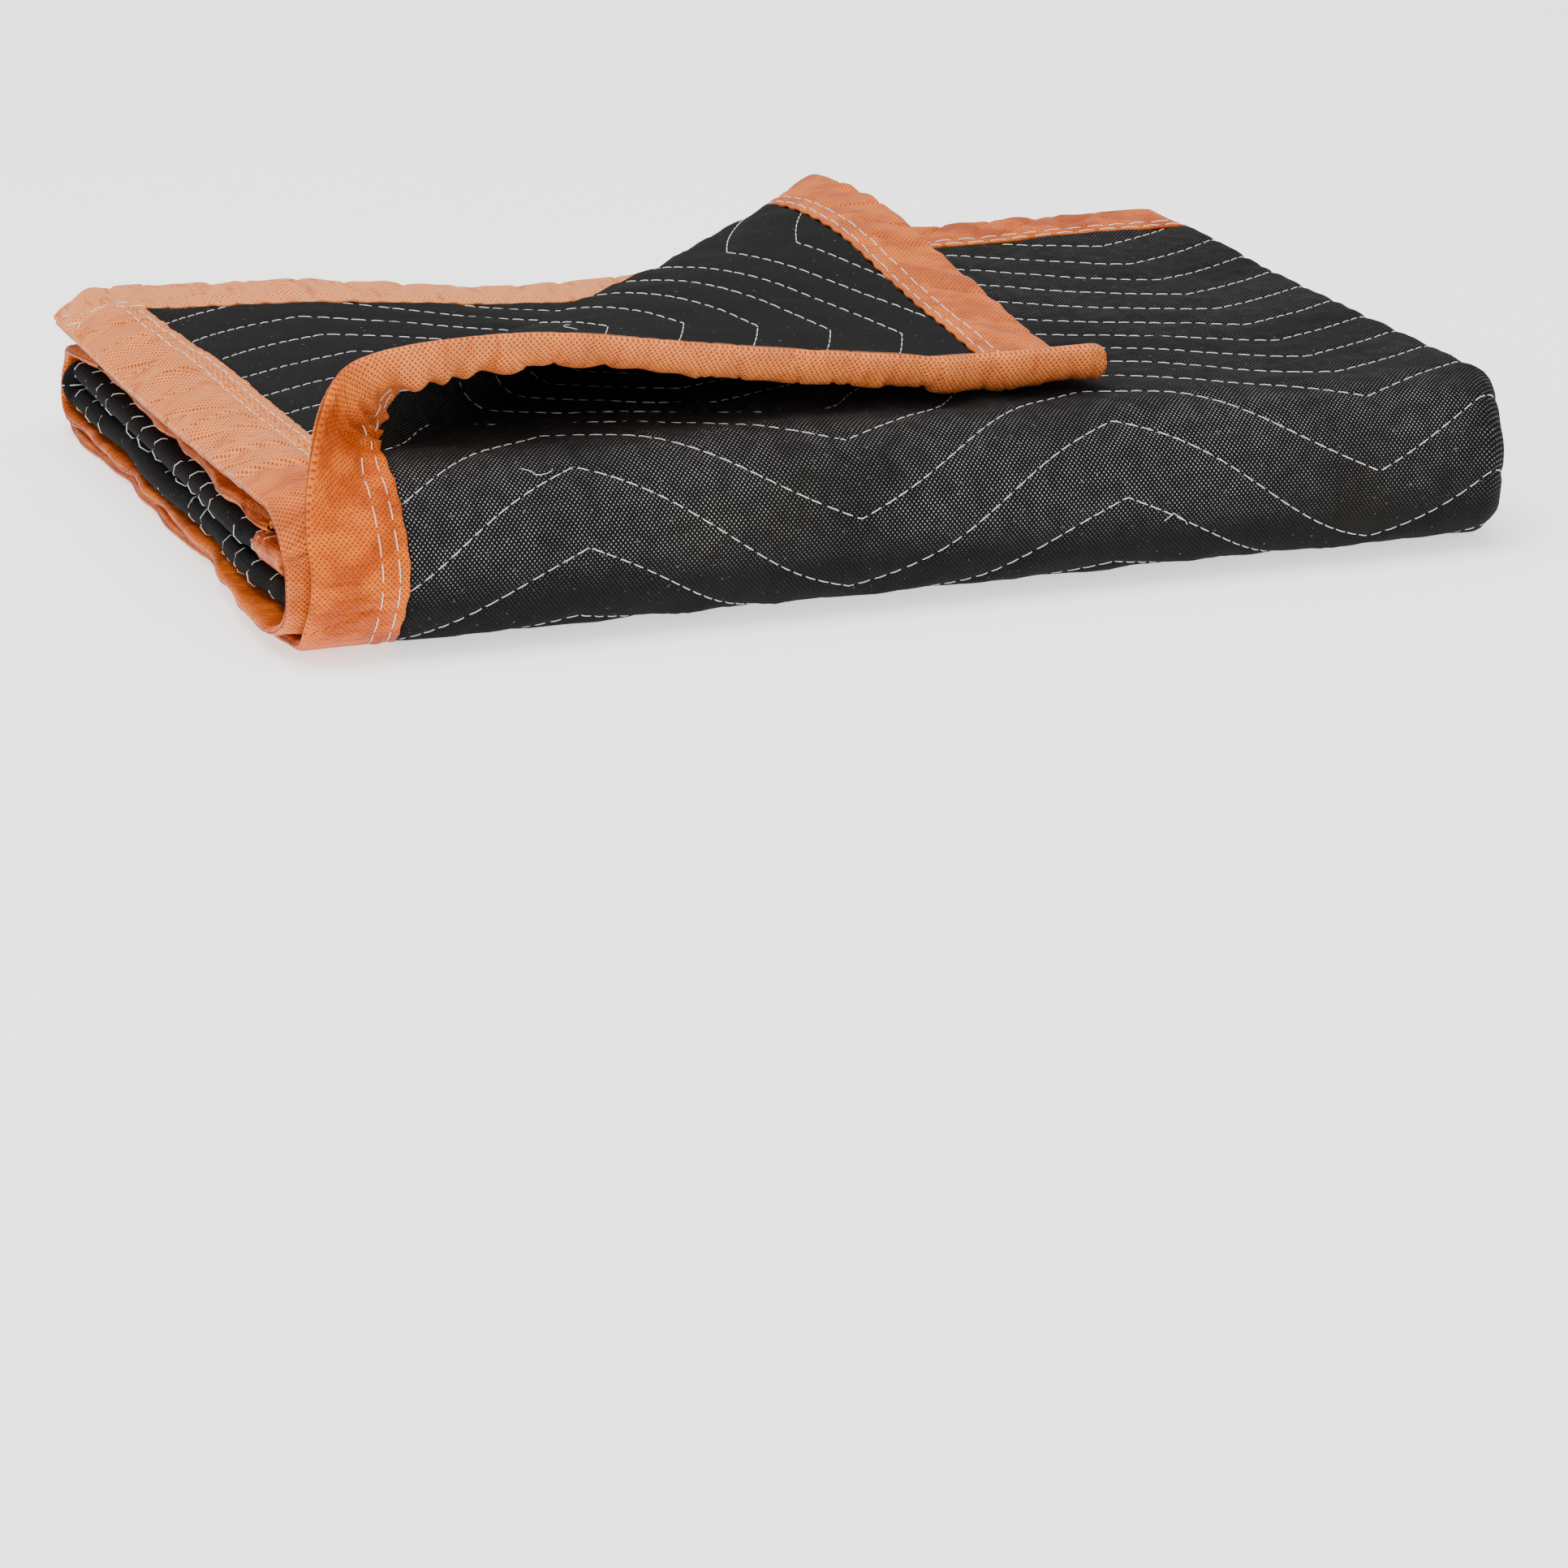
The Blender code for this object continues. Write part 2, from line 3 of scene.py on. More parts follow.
import bmesh
import bpy
import numpy as np
from mathutils import Matrix, Vector


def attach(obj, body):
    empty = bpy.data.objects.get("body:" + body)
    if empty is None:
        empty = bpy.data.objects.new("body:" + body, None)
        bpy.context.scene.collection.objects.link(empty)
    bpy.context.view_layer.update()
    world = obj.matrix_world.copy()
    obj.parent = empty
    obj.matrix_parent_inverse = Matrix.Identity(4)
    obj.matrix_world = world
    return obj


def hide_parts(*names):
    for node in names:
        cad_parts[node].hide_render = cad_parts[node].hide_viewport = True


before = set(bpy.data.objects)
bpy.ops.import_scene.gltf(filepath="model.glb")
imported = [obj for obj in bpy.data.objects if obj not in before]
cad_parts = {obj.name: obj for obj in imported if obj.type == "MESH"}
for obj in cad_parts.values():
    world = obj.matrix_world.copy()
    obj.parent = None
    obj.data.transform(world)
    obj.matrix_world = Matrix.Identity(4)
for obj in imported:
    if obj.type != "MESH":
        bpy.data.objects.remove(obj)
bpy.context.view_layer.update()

# Looks of the folded moving pad: quilted black cloth, orange binding, stitches and the studio.

# The flat pad, in metres, as in the part's source, but for its thinner seams.
PAD_LENGTH = 1.829
PAD_WIDTH = 1.016
CLOTH = 0.0039
SEAM_CLOTH = 0.0019
QUILT_PITCH = 0.0295
QUILT_START = 0.025
WAVE_LENGTH = 0.205
WAVE_HEIGHT = 0.058
WAVE_PEAK = 0.100
WAVE_SOFTNESS = 0.25

# The folds, as in the part's source.
LAYERS_PER_PANEL = 4
HALF_TURN_LEVELS = (3, 1, 1)
TURN_PITCH = 0.0050
OUTER_EDGE_X = -0.0065
INNER_EDGE_X = -0.014
HALF_FOLD_X = 0.0065
TOP_DEPTH = 0.304
BASE_DEPTH = 0.300
CENTRE_X = 0.2198
CENTRE_Y = 0.1435
FRONT_PITCH = 0.0056
BACK_PITCH = 0.0048
FRONT_CENTRE = 6.0
PITCH_TABLE = (
    (0.000, 0.0058, 0.0056, 0.0054),
    (0.150, 0.0054, 0.0049, 0.0048),
    (0.300, 0.0054, 0.0047, 0.0046),
)
MIDDLE_EDGE_TABLE = (
    (0.5, 0.009),
    (2.5, 0.009),
    (3.5, 0.024),
)
CREASE_START_Y = -0.0395
CREASE_END_X = 0.323
ROLL_RADII = (0.0143, 0.0128, 0.0175)
ROLL_START_SHARE = 0.5
ROLL_OPENS = 0.056
ROLL_RISE = math.radians(13.5)
ARCH_RADIUS = 0.138
ROLL_DESCENT = math.radians(11.8)
LANDING_RADIUS = 0.060
LANDED_HEIGHT = 0.0070
LIP_WIDTH = 0.0175
LIP_TURN = math.radians(86)
LIP_STARTS = 0.005
LIP_FULL = 0.060
TUCK = 0.0045
TUCK_FROM_X = 0.340
TUCK_SPAN = 0.100
TUCK_FRONT_SPAN = 0.030
TUCK_BACK_SPAN = 0.060
END_SLANT = 0.006
SECOND_LEVEL = 2.5
LEVEL_BLEND = 0.4
DROOP_FROM = 0.0035
DROOP_SPAN = 0.0175
DROOP_DEPTH = 0.006
DROOP_MORE_AT_BACK = 0.5
DIFFERENCE = 2e-5

# Binding and sewing, as they show.
BINDING_WIDTH = 0.0335
CLEAR_OF_BINDING = 0.0350
THREAD = 0.00021
QUILT_THREAD = 0.00019
QUILT_STITCH = 0.0060
QUILT_DASH = 0.0053
BINDING_STITCH = 0.0097
BINDING_DASH = 0.0086
BINDING_ROWS = (0.0300, 0.0236)
TAPE_OVERLAP = 0.0010
THREAD_SIDES = 4
DOT_PITCH = 0.0020
LIP_UV = 17 * DOT_PITCH
INNER_TAPE_OFFSET = 40 * DOT_PITCH
HALF_FOLD_LINES = 0.62
TAPE_JOIN = 0.068
INNER_FACE_OFFSET = 4.0
SIDE_TAPE_OFFSET = 2.0
CORNER_ZIGZAG_SHIFT = 0.033

# Small departures from the part's folds, to follow the photo.
CORNER_RADIUS = 0.0055
NARROWING = 0.20
HALF_FOLD_PUSH = 0.0115
MIDDLE_RECESS = 0.0070
FREE_EDGE_SHIFT = 0.020
BACK_DIP = 0.15
BACK_DIP_X = 0.185
BACK_DIP_SPAN = 0.120
END_UNEVENNESS = 0.0013
END_REACH = 0.35

# Relief of the cloth's faces.
DRIFT_HEIGHT = 0.00055
PUFF_REACH = 0.0036
FINE_HEIGHT = 0.00028
UNDER_BINDING = CLOTH / 2 - 0.0013

# Relief of the binding: its wrinkles, grooves at the stitch rows, ribs between them and scalloped edge.
TAPE_RAISED = 0.00065
TAPE_WAVES = 0.00055
TAPE_CREASES = 0.00110
TAPE_SLANT = 0.55
TAPE_LOWEST = 0.0010
WRINKLES_WHERE_PRESSED = 0.28
HELD_BY_STITCHES = 0.72
GROOVE = 0.00040
GROOVE_CHANGE = 0.00012
RIB_PITCH = 0.0027
SCALLOPS = 0.00026
PINCH_PLACE = 0.290
PINCH_REACH = 0.022
PINCH_HEIGHT = 0.0016
GATHER_HEIGHT = 0.0011
GATHER_PITCH = 0.0115

# Stray stitches at the pinch, as turned; the zigzag's corners, as v and distance from the end; and loose
# ends of thread, as u, v, face of the cloth, length and bend.
PINCH_TURNS = (0.6, 0.3, 0.9, 0.1)
CORNER_ZIGZAG = ((0.010, 0.0020), (0.016, 0.0064), (0.022, 0.0012), (0.028, 0.0052), (0.034, 0.0016))
LOOSE_ENDS = (
    (0.086, 0.3198, 1.0, 0.011, 0.9),
    (0.324, 0.3598, 1.0, 0.009, -1.3),
    (0.0647, 0.1875, -1.0, 0.010, 1.1),
)

# Lamps: name, place, size and power in watts.
LAMPS = (
    ("overhead", (-0.5, -0.3, 2.6), 2.0, 95.0),
    ("left_front", (-2.2, -2.0, 1.5), 1.6, 19.0),
    ("right_front", (2.0, -2.4, 1.0), 1.6, 8.0),
)
WORLD_LIGHT = 0.76
FLOOR_GLOW = 1.1

# The photo's camera, in the frame of the folded pad before it is centred.
CAMERA_PLACE = (-0.667461, -2.385304, 0.752015)
CAMERA_AZIMUTH = math.radians(19.519)
CAMERA_ELEVATION = math.radians(18.010)
CAMERA_FOCAL = 8998.5
IMAGE_SIZE = 1932
SENSOR = 36.0


def half_turn(levels):
    return math.pi * abs(levels) / 2 * TURN_PITCH


TURNS = sum(half_turn(levels) for levels in HALF_TURN_LEVELS)
RIGHT_END = (PAD_LENGTH - TURNS + 2 * HALF_FOLD_X + INNER_EDGE_X + OUTER_EDGE_X) / LAYERS_PER_PANEL
LENGTH_PATH = (
    (OUTER_EDGE_X, 3.5, RIGHT_END, 3.5),
    (RIGHT_END, 3.5, RIGHT_END, 0.5),
    (RIGHT_END, 0.5, HALF_FOLD_X, 0.5),
    (HALF_FOLD_X, 0.5, HALF_FOLD_X, 1.5),
    (HALF_FOLD_X, 1.5, RIGHT_END, 1.5),
    (RIGHT_END, 1.5, RIGHT_END, 2.5),
    (RIGHT_END, 2.5, INNER_EDGE_X, 2.5),
)
OUTER_LEVEL = LENGTH_PATH[0][1]
STEPS = [half_turn(q1 - q0) if q0 != q1 else abs(x1 - x0) for x0, q0, x1, q1 in LENGTH_PATH]
PATH_STARTS = np.concatenate(([0.0], np.cumsum(STEPS)))


def smooth(t):
    t = np.clip(t, 0.0, 1.0)
    return t * t * (3 - 2 * t)


def through_three(t, a, b, c):
    return a * (1 - t) * (1 - 2 * t) + 4 * b * t * (1 - t) + c * t * (2 * t - 1)


def pitch(x, y):
    across = np.clip(x / RIGHT_END, 0.0, 1.0)
    back = np.clip(y / PITCH_TABLE[-1][0], 0.0, 1.0)
    return through_three(back, *[through_three(across, *row[1:]) for row in PITCH_TABLE])


def fold_length(u):
    x, bulge, level = np.zeros_like(u), np.zeros_like(u), np.zeros_like(u)
    for step, (x0, q0, x1, q1) in enumerate(LENGTH_PATH):
        begin, end = PATH_STARTS[step], PATH_STARTS[step + 1]
        here = (u >= begin) if step else (u >= -1.0)
        part = np.clip((u[here] - begin) / (end - begin), 0.0, 1.0)
        angle = math.pi * part
        side = 1.0 if x0 == RIGHT_END else -1.0
        x[here] = x0 + (x1 - x0) * part
        bulge[here] = side * abs(q1 - q0) / 2 * np.sin(angle) if q0 != q1 else 0.0
        level[here] = (q0 + q1) / 2 + (q0 - q1) / 2 * np.cos(angle)
    return x, bulge, level


def width_marks(q):
    wide = np.maximum(q, 2.0)
    base = TOP_DEPTH + math.pi * (wide + 2) * FRONT_PITCH
    back = base + BASE_DEPTH
    return TOP_DEPTH, base, back, back + math.pi * wide * BACK_PITCH


def fold_width(v, q):
    front, base, back, middle = width_marks(q)
    edge = np.interp(q, *zip(*MIDDLE_EDGE_TABLE))
    squeeze = (BASE_DEPTH - edge) / (PAD_WIDTH - middle)
    front_angle = math.pi * np.clip((v - front) / (base - front), 0.0, 1.0)
    back_angle = math.pi * np.clip((v - back) / (middle - back), 0.0, 1.0)
    y = np.where(v < front, front - v, np.where(v < back, np.maximum(v - base, 0.0), BASE_DEPTH))
    y = np.where(v > middle, BASE_DEPTH - (v - middle) * squeeze, y)
    bulge = -(q + 2) * np.sin(front_angle) + q * np.sin(back_angle)
    front_level = FRONT_CENTRE + (q + 2) * np.cos(front_angle)
    back_level = LAYERS_PER_PANEL - q * np.cos(back_angle)
    return y, bulge, np.where(v < back, front_level, back_level)


def stack_point(x, side, q, v):
    y, bulge, level = fold_width(v, q)
    step = pitch(x, y)
    return np.stack([x + side * step, y + bulge * step, (level - 0.5) * step + CLOTH / 2], axis=-1)


def settle(points, q):
    """The right end's tuck, and the droop and slant of the second layer's bound end."""
    x, y, z = points.T
    own = smooth(1 - np.abs(q - SECOND_LEVEL) / LEVEL_BLEND)
    past = np.clip((DROOP_FROM - x) / DROOP_SPAN, 0.0, 1.2)
    more = 1 + DROOP_MORE_AT_BACK * np.clip(y / BASE_DEPTH, 0.0, 1.0)
    points[:, 2] = z - DROOP_DEPTH * more * past ** 1.5 * smooth((z - 0.035) / 0.012) * own
    outward = smooth((points[:, 0] - TUCK_FROM_X) / TUCK_SPAN)
    front = smooth(-y / TUCK_FRONT_SPAN)
    back = smooth((y - BASE_DEPTH + TUCK_BACK_SPAN) / TUCK_BACK_SPAN)
    points[:, 0] -= TUCK * outward * (front + back)
    near_end = smooth((0.100 - points[:, 0]) / 0.100)
    low = smooth((0.046 - points[:, 2]) / 0.020) * smooth((y - 0.020) / 0.100)
    points[:, 0] += END_SLANT * near_end * low * own
    return points


def roll_profile(along, radius):
    """Section of the roll at the crease: distance past the crease, height and direction."""
    first_turn = math.pi - ROLL_RISE
    arch_turn = ROLL_RISE + ROLL_DESCENT
    top = radius * (1 + math.cos(ROLL_RISE)) + ARCH_RADIUS * (math.cos(ROLL_DESCENT) - math.cos(ROLL_RISE))
    slope = (top - LANDED_HEIGHT - LANDING_RADIUS * (1 - math.cos(ROLL_DESCENT))) / math.sin(ROLL_DESCENT)
    past_arc = along - radius * first_turn
    past_arch = past_arc - ARCH_RADIUS * arch_turn
    past_slope = past_arch - slope
    on_arc = np.minimum(along / radius, first_turn)
    on_arch = np.clip(past_arc / ARCH_RADIUS, 0.0, arch_turn)
    on_slope = np.clip(past_arch, 0.0, slope)
    landing = np.clip(past_slope / LANDING_RADIUS, 0.0, ROLL_DESCENT)
    flat = np.maximum(past_slope - LANDING_RADIUS * ROLL_DESCENT, 0.0)
    left = ROLL_DESCENT - landing
    distance = radius * np.sin(on_arc) + ARCH_RADIUS * (np.sin(first_turn + on_arch) - math.sin(first_turn))
    distance = distance - math.cos(ROLL_DESCENT) * on_slope
    distance = distance - LANDING_RADIUS * (math.sin(ROLL_DESCENT) - np.sin(left)) - flat
    height = radius * (1 - np.cos(on_arc))
    height = height + ARCH_RADIUS * (math.cos(first_turn) - np.cos(first_turn + on_arch))
    height = height - math.sin(ROLL_DESCENT) * on_slope
    height = height - LANDING_RADIUS * (np.cos(left) - math.cos(ROLL_DESCENT))
    return distance, height, on_arc + on_arch - landing


def turned_corner(u, v):
    start = np.array([OUTER_EDGE_X, CREASE_START_Y])
    end = np.array([CREASE_END_X, TOP_DEPTH])
    crease_length = math.hypot(*(end - start))
    along_x, along_y = (end - start) / crease_length
    y = TOP_DEPTH - v
    turn = LIP_TURN * smooth((y - start[1] - LIP_STARTS) / (LIP_FULL - LIP_STARTS))
    lip_radius = LIP_WIDTH / np.maximum(turn, 1e-6)
    into_lip = np.maximum(LIP_WIDTH - u, 0.0)
    lip_u = np.where(u < LIP_WIDTH, LIP_WIDTH - lip_radius * np.sin(into_lip / lip_radius), u)
    lip_rise = lip_radius * (1 - np.cos(into_lip / lip_radius))
    along = lip_u * along_x + (y - start[1]) * along_y
    past = (y - start[1]) * along_x - lip_u * along_y
    radius = through_three(np.clip(along / crease_length, 0.0, 1.0), *ROLL_RADII)
    radius = radius * (ROLL_START_SHARE + (1 - ROLL_START_SHARE) * smooth(along / ROLL_OPENS))
    distance, height, angle = roll_profile(np.maximum(past, 0.0), radius)
    distance = distance + lip_rise * np.sin(angle)
    height = height - lip_rise * np.cos(angle)
    new_x = start[0] + along * along_x - distance * along_y
    new_y = start[1] + along * along_y + distance * along_x
    level = np.full_like(u, OUTER_LEVEL)
    points = stack_point(new_x, np.zeros_like(u), level, TOP_DEPTH - new_y)
    points[:, 2] += height
    return points, past > 0


def cloth_middle(u, v):
    x, side, q = fold_length(u)
    points = settle(stack_point(x, side, q, v), q)
    candidate = (u < CREASE_END_X - OUTER_EDGE_X) & (v < TOP_DEPTH - CREASE_START_Y)
    if candidate.any():
        turned, past = turned_corner(u[candidate], v[candidate])
        mine = points[candidate]
        mine[past] = turned[past]
        points[candidate] = mine
    return points


def unit(vectors):
    return vectors / np.linalg.norm(vectors, axis=1)[:, None]


def fold(u, v, h):
    """Folded place of the flat points u, v, h, in the row frame."""
    inner_u, inner_v = np.clip(u, 0.0, PAD_LENGTH), np.clip(v, 0.0, PAD_WIDTH)
    low_u, high_u = np.maximum(inner_u - DIFFERENCE, 0.0), np.minimum(inner_u + DIFFERENCE, PAD_LENGTH)
    low_v, high_v = np.maximum(inner_v - DIFFERENCE, 0.0), np.minimum(inner_v + DIFFERENCE, PAD_WIDTH)
    along_u = unit(cloth_middle(high_u, inner_v) - cloth_middle(low_u, inner_v))
    along_v = unit(cloth_middle(inner_u, high_v) - cloth_middle(inner_u, low_v))
    normal = unit(np.cross(along_v, along_u))
    points = cloth_middle(inner_u, inner_v)
    points = points + along_u * (u - inner_u)[:, None] + along_v * (v - inner_v)[:, None]
    return points + normal * h[:, None] - np.array([CENTRE_X, CENTRE_Y, 0.0])


def wave(u):
    phase = np.mod((u - WAVE_PEAK) / WAVE_LENGTH, 1.0)
    rise = 1 - np.abs(2 * phase - 1)
    rise = rise - WAVE_SOFTNESS * np.sin(2 * math.pi * rise) / (2 * math.pi)
    return WAVE_HEIGHT * (rise - 0.5)


def ripples(seed, count, shortest, longest):
    """A smooth random surface: so many plane waves, as rows of direction, wave number and phase."""
    rng = np.random.default_rng(seed)
    angle = rng.uniform(0, math.pi, count)
    number = 2 * math.pi / rng.uniform(shortest, longest, count)
    return np.cos(angle) * number, np.sin(angle) * number, rng.uniform(0, 2 * math.pi, count)


def ripple(waves, a, b):
    total = np.zeros_like(a)
    for wave_a, wave_b, phase in zip(*waves):
        total += np.sin(wave_a * a + wave_b * b + phase)
    return total / math.sqrt(len(waves[0]))


BROAD = ripples(3, 9, 0.060, 0.180)
FINE = ripples(5, 14, 0.012, 0.034)
EDGE = ripples(8, 7, 0.030, 0.110)


def drift(u, v):
    """Slow unevenness of the outermost layer, which keeps clear of the layer beneath it."""
    outer = smooth((PATH_STARTS[2] - u) / 0.020)
    front_end = width_marks(OUTER_LEVEL)[1]
    shown = smooth((front_end - v) / 0.030) * smooth(v / 0.040)
    return DRIFT_HEIGHT * (ripple(BROAD, u, v) + 0.4) * outer * shown


def past_crease(u, v):
    """Whether a flat place lies on the turned-back corner."""
    along_x, along_y = CREASE_END_X - OUTER_EDGE_X, TOP_DEPTH - CREASE_START_Y
    side = (TOP_DEPTH - v - CREASE_START_Y) * along_x - u * along_y
    return (side > 0) & (u < along_x) & (v < along_y)


def rounded_corners(u, v):
    near_u, near_v = np.minimum(u, PAD_LENGTH - u), np.minimum(v, PAD_WIDTH - v)
    in_u, in_v = np.maximum(CORNER_RADIUS - near_u, 0.0), np.maximum(CORNER_RADIUS - near_v, 0.0)
    share = np.maximum(in_u, in_v) / np.maximum(np.hypot(in_u, in_v), 1e-9)
    near_u = np.where(in_u > 0, CORNER_RADIUS - in_u * share, near_u)
    near_v = np.where(in_v > 0, CORNER_RADIUS - in_v * share, near_v)
    return (np.where(u < PAD_LENGTH / 2, near_u, PAD_LENGTH - near_u),
            np.where(v < PAD_WIDTH / 2, near_v, PAD_WIDTH - near_v))


def narrowed_band(u, v):
    """The second layer's end band shows narrower towards the back."""
    end = PAD_LENGTH - u
    share = NARROWING * (1 - smooth((v - 0.030) / 0.120)) * (1 - smooth((end - BINDING_WIDTH) / 0.100))
    return PAD_LENGTH - end * (1 - share)


def end_shift(u, v):
    """The half fold lies further out than the bound ends of the middle section, which are drawn in."""
    front_start, front_end, back_start, back_end = width_marks(OUTER_LEVEL)
    below = smooth((v - front_start) / (front_end - front_start))
    middle = smooth((v - back_start) / (back_end - back_start))
    from_turn = np.abs(u - (PATH_STARTS[3] + PATH_STARTS[4]) / 2)
    from_end = np.minimum(u, PAD_LENGTH - u)
    uneven = END_UNEVENNESS * ripple(EDGE, v, u * 0.1) * smooth((v - 0.060) / 0.060)
    turn_share = smooth(1 - from_turn / END_REACH)
    end_share = smooth(1 - from_end / END_REACH)
    at_turn = (uneven - HALF_FOLD_PUSH) * below * turn_share
    return at_turn + (MIDDLE_RECESS * middle + uneven * below) * end_share


def place(u, v, h):
    """Place of flat points as the scene shows them."""
    u, v = rounded_corners(u, v)
    u = narrowed_band(u, v)
    points = fold(u, v, h + drift(u, v))
    points[:, 0] += end_shift(u, v)
    near_end = smooth(1 - np.minimum(u, PAD_LENGTH - u) / 0.120)
    points[:, 1] += FREE_EDGE_SHIFT * smooth((v - 0.800) / 0.200) * near_end
    across = smooth(1 - np.abs(points[:, 0] + CENTRE_X - BACK_DIP_X) / BACK_DIP_SPAN)
    back = smooth((points[:, 1] + CENTRE_Y - 0.190) / 0.110)
    points[:, 2] *= 1 - BACK_DIP * across * back * ~past_crease(u, v)
    points[:, 2] = np.maximum(points[:, 2], 0.0)
    return points


def quilting(u, v):
    """The zigzag's height at u; on the turned-back corner it turns nearer to the bound end."""
    corner = smooth((0.300 - v) / 0.050) * smooth((0.330 - u) / 0.060)
    return wave(u + CORNER_ZIGZAG_SHIFT * corner)


def quilting_line(u, number):
    v = QUILT_START + QUILT_PITCH * number + wave(u)
    for _ in range(6):
        v = QUILT_START + QUILT_PITCH * number + quilting(u, v)
    return v


def face_height(u, v):
    """Height of either face of the cloth above its middle: puffed between the quilting lines."""
    seams = (v - QUILT_START - quilting(u, v)) / QUILT_PITCH
    from_seam = np.abs(np.mod(seams + 0.5, 1.0) - 0.5) * QUILT_PITCH
    puff = 1 - np.exp(-from_seam / PUFF_REACH)
    puff = puff / (1 - math.exp(-QUILT_PITCH / 2 / PUFF_REACH))
    height = (SEAM_CLOTH + (CLOTH - SEAM_CLOTH) * puff) / 2
    height = height + FINE_HEIGHT * (0.25 + puff) * ripple(FINE, u, v)
    from_edge = np.minimum(np.minimum(u, PAD_LENGTH - u), np.minimum(v, PAD_WIDTH - v))
    return np.where(from_edge < (BINDING_WIDTH + CLEAR_OF_BINDING) / 2, UNDER_BINDING, height)


def spread(*stops):
    """Division points through the stops, given as value, spacing, value, spacing, value."""
    points = [stops[0]]
    for spacing, stop in zip(stops[1::2], stops[2::2]):
        count = max(1, round((stop - points[-1]) / spacing))
        points.extend(np.linspace(points[-1], stop, count + 1)[1:])
    return np.array(points)


def cloth_columns():
    s = PATH_STARTS
    return spread(
        0.0, 0.0035, BINDING_WIDTH, 0.0015, CLEAR_OF_BINDING, 0.0042, RIGHT_END - 0.004, 0.0020,
        s[2] + 0.006, 0.040, s[3] - 0.030, 0.005, s[3], 0.0014, s[4], 0.005, s[4] + 0.030, 0.040,
        s[5] - 0.010, 0.0030, s[6] + 0.010, 0.030, s[6] + 0.150, 0.0055,
        PAD_LENGTH - CLEAR_OF_BINDING, 0.0015, PAD_LENGTH - BINDING_WIDTH, 0.0035, PAD_LENGTH,
    )


def cloth_rows():
    """Rows of the outermost layer: close together on the quilting lines, and coarse where nothing shows."""
    front_end, back_start, back_end = width_marks(OUTER_LEVEL)[1:]
    shares = (0.0, 0.05, 0.12, 0.22, 0.36, 0.5, 0.64, 0.78, 0.88, 0.95)
    marks = []
    line = QUILT_START - 2 * QUILT_PITCH
    while line < front_end + QUILT_PITCH:
        marks.extend(line + QUILT_PITCH * share for share in shares)
        line += QUILT_PITCH
    base = spread(marks[-1], 0.030, back_start - 0.010, 0.0035, back_end + 0.010)[1:]
    middle = spread(base[-1], 0.030, PAD_WIDTH - 0.050, 0.006, PAD_WIDTH - CLEAR_OF_BINDING,
                    0.0015, PAD_WIDTH - BINDING_WIDTH, 0.005, PAD_WIDTH)[1:]
    return np.concatenate((marks, base, middle))


def placed_rows(u, rows):
    """Rows at u: at the same turn of each fold in every layer, and along the quilting where it shows."""
    level = fold_length(np.array([u]))[2][0]
    last = (PAD_WIDTH - CLEAR_OF_BINDING, PAD_WIDTH)
    first = (-1.0, 0.0)
    own = np.interp(rows, (*first, *width_marks(OUTER_LEVEL), *last), (*first, *width_marks(level), *last))
    outermost = smooth((PATH_STARTS[2] + 0.120 - u) / 0.120)
    second = smooth((u - PATH_STARTS[6]) / 0.100)
    strength = smooth((width_marks(OUTER_LEVEL)[1] + 0.120 - rows) / 0.110)
    return own + strength * quilting(np.full(len(rows), u), own) * (outermost + second)


def new_mesh_object(name, mesh, material):
    mesh.materials.append(material)
    mesh.shade_smooth()
    thing = bpy.data.objects.new(name, mesh)
    bpy.context.scene.collection.objects.link(thing)
    return thing


def put_uv(mesh, flat):
    """The flat place of each point, in metres, as the mesh's UV map."""
    layer = mesh.uv_layers.new(name="flat")
    corners = np.empty(len(mesh.loops), dtype=np.int32)
    mesh.loops.foreach_get("vertex_index", corners)
    layer.data.foreach_set("uv", flat[corners].astype(np.float32).ravel())


def cloth_mesh():
    columns, rows = cloth_columns(), cloth_rows()
    grid = np.stack([np.stack([placed_rows(u, rows), np.full(len(rows), u)], axis=-1) for u in columns])
    count = len(rows)
    verts = np.concatenate([grid.reshape(-1, 2), np.zeros((grid.size // 2, 1))], axis=1)
    faces = [
        (c * count + r, c * count + r + 1, (c + 1) * count + r + 1, (c + 1) * count + r)
        for c in range(len(columns) - 1)
        for r in range(count - 1)
    ]
    mesh = bpy.data.meshes.new("flat")
    mesh.from_pydata(verts.tolist(), [], faces)
    bm = bmesh.new()
    bm.from_mesh(mesh)
    bpy.data.meshes.remove(mesh)
    for cut, outside in ((0.0, True), (BINDING_WIDTH, False), (CLEAR_OF_BINDING, False)):
        geometry = bm.verts[:] + bm.edges[:] + bm.faces[:]
        bmesh.ops.bisect_plane(
            bm, geom=geometry, dist=1e-5, plane_co=(cut, 0, 0), plane_no=(1, 0, 0), clear_inner=outside
        )
    raised = bmesh.ops.extrude_face_region(bm, geom=bm.faces[:])["geom"]
    upper = {item for item in raised if isinstance(item, bmesh.types.BMVert)}
    for vert in bm.verts:
        vert.co.z = 1.0 if vert in upper else -1.0
    bmesh.ops.recalc_face_normals(bm, faces=bm.faces)
    mesh = bpy.data.meshes.new("quilted_cloth")
    bm.to_mesh(mesh)
    bm.free()
    flat = np.empty(len(mesh.vertices) * 3, dtype=np.float32)
    mesh.vertices.foreach_get("co", flat)
    flat = flat.reshape(-1, 3).astype(float)
    v, u, face = flat.T
    put_uv(mesh, np.stack([u, v + np.where(face < 0, INNER_FACE_OFFSET, 0.0)], axis=-1))
    mesh.vertices.foreach_set("co", place(u, v, face * face_height(u, v)).astype(np.float32).ravel())
    mesh.update()
    return mesh


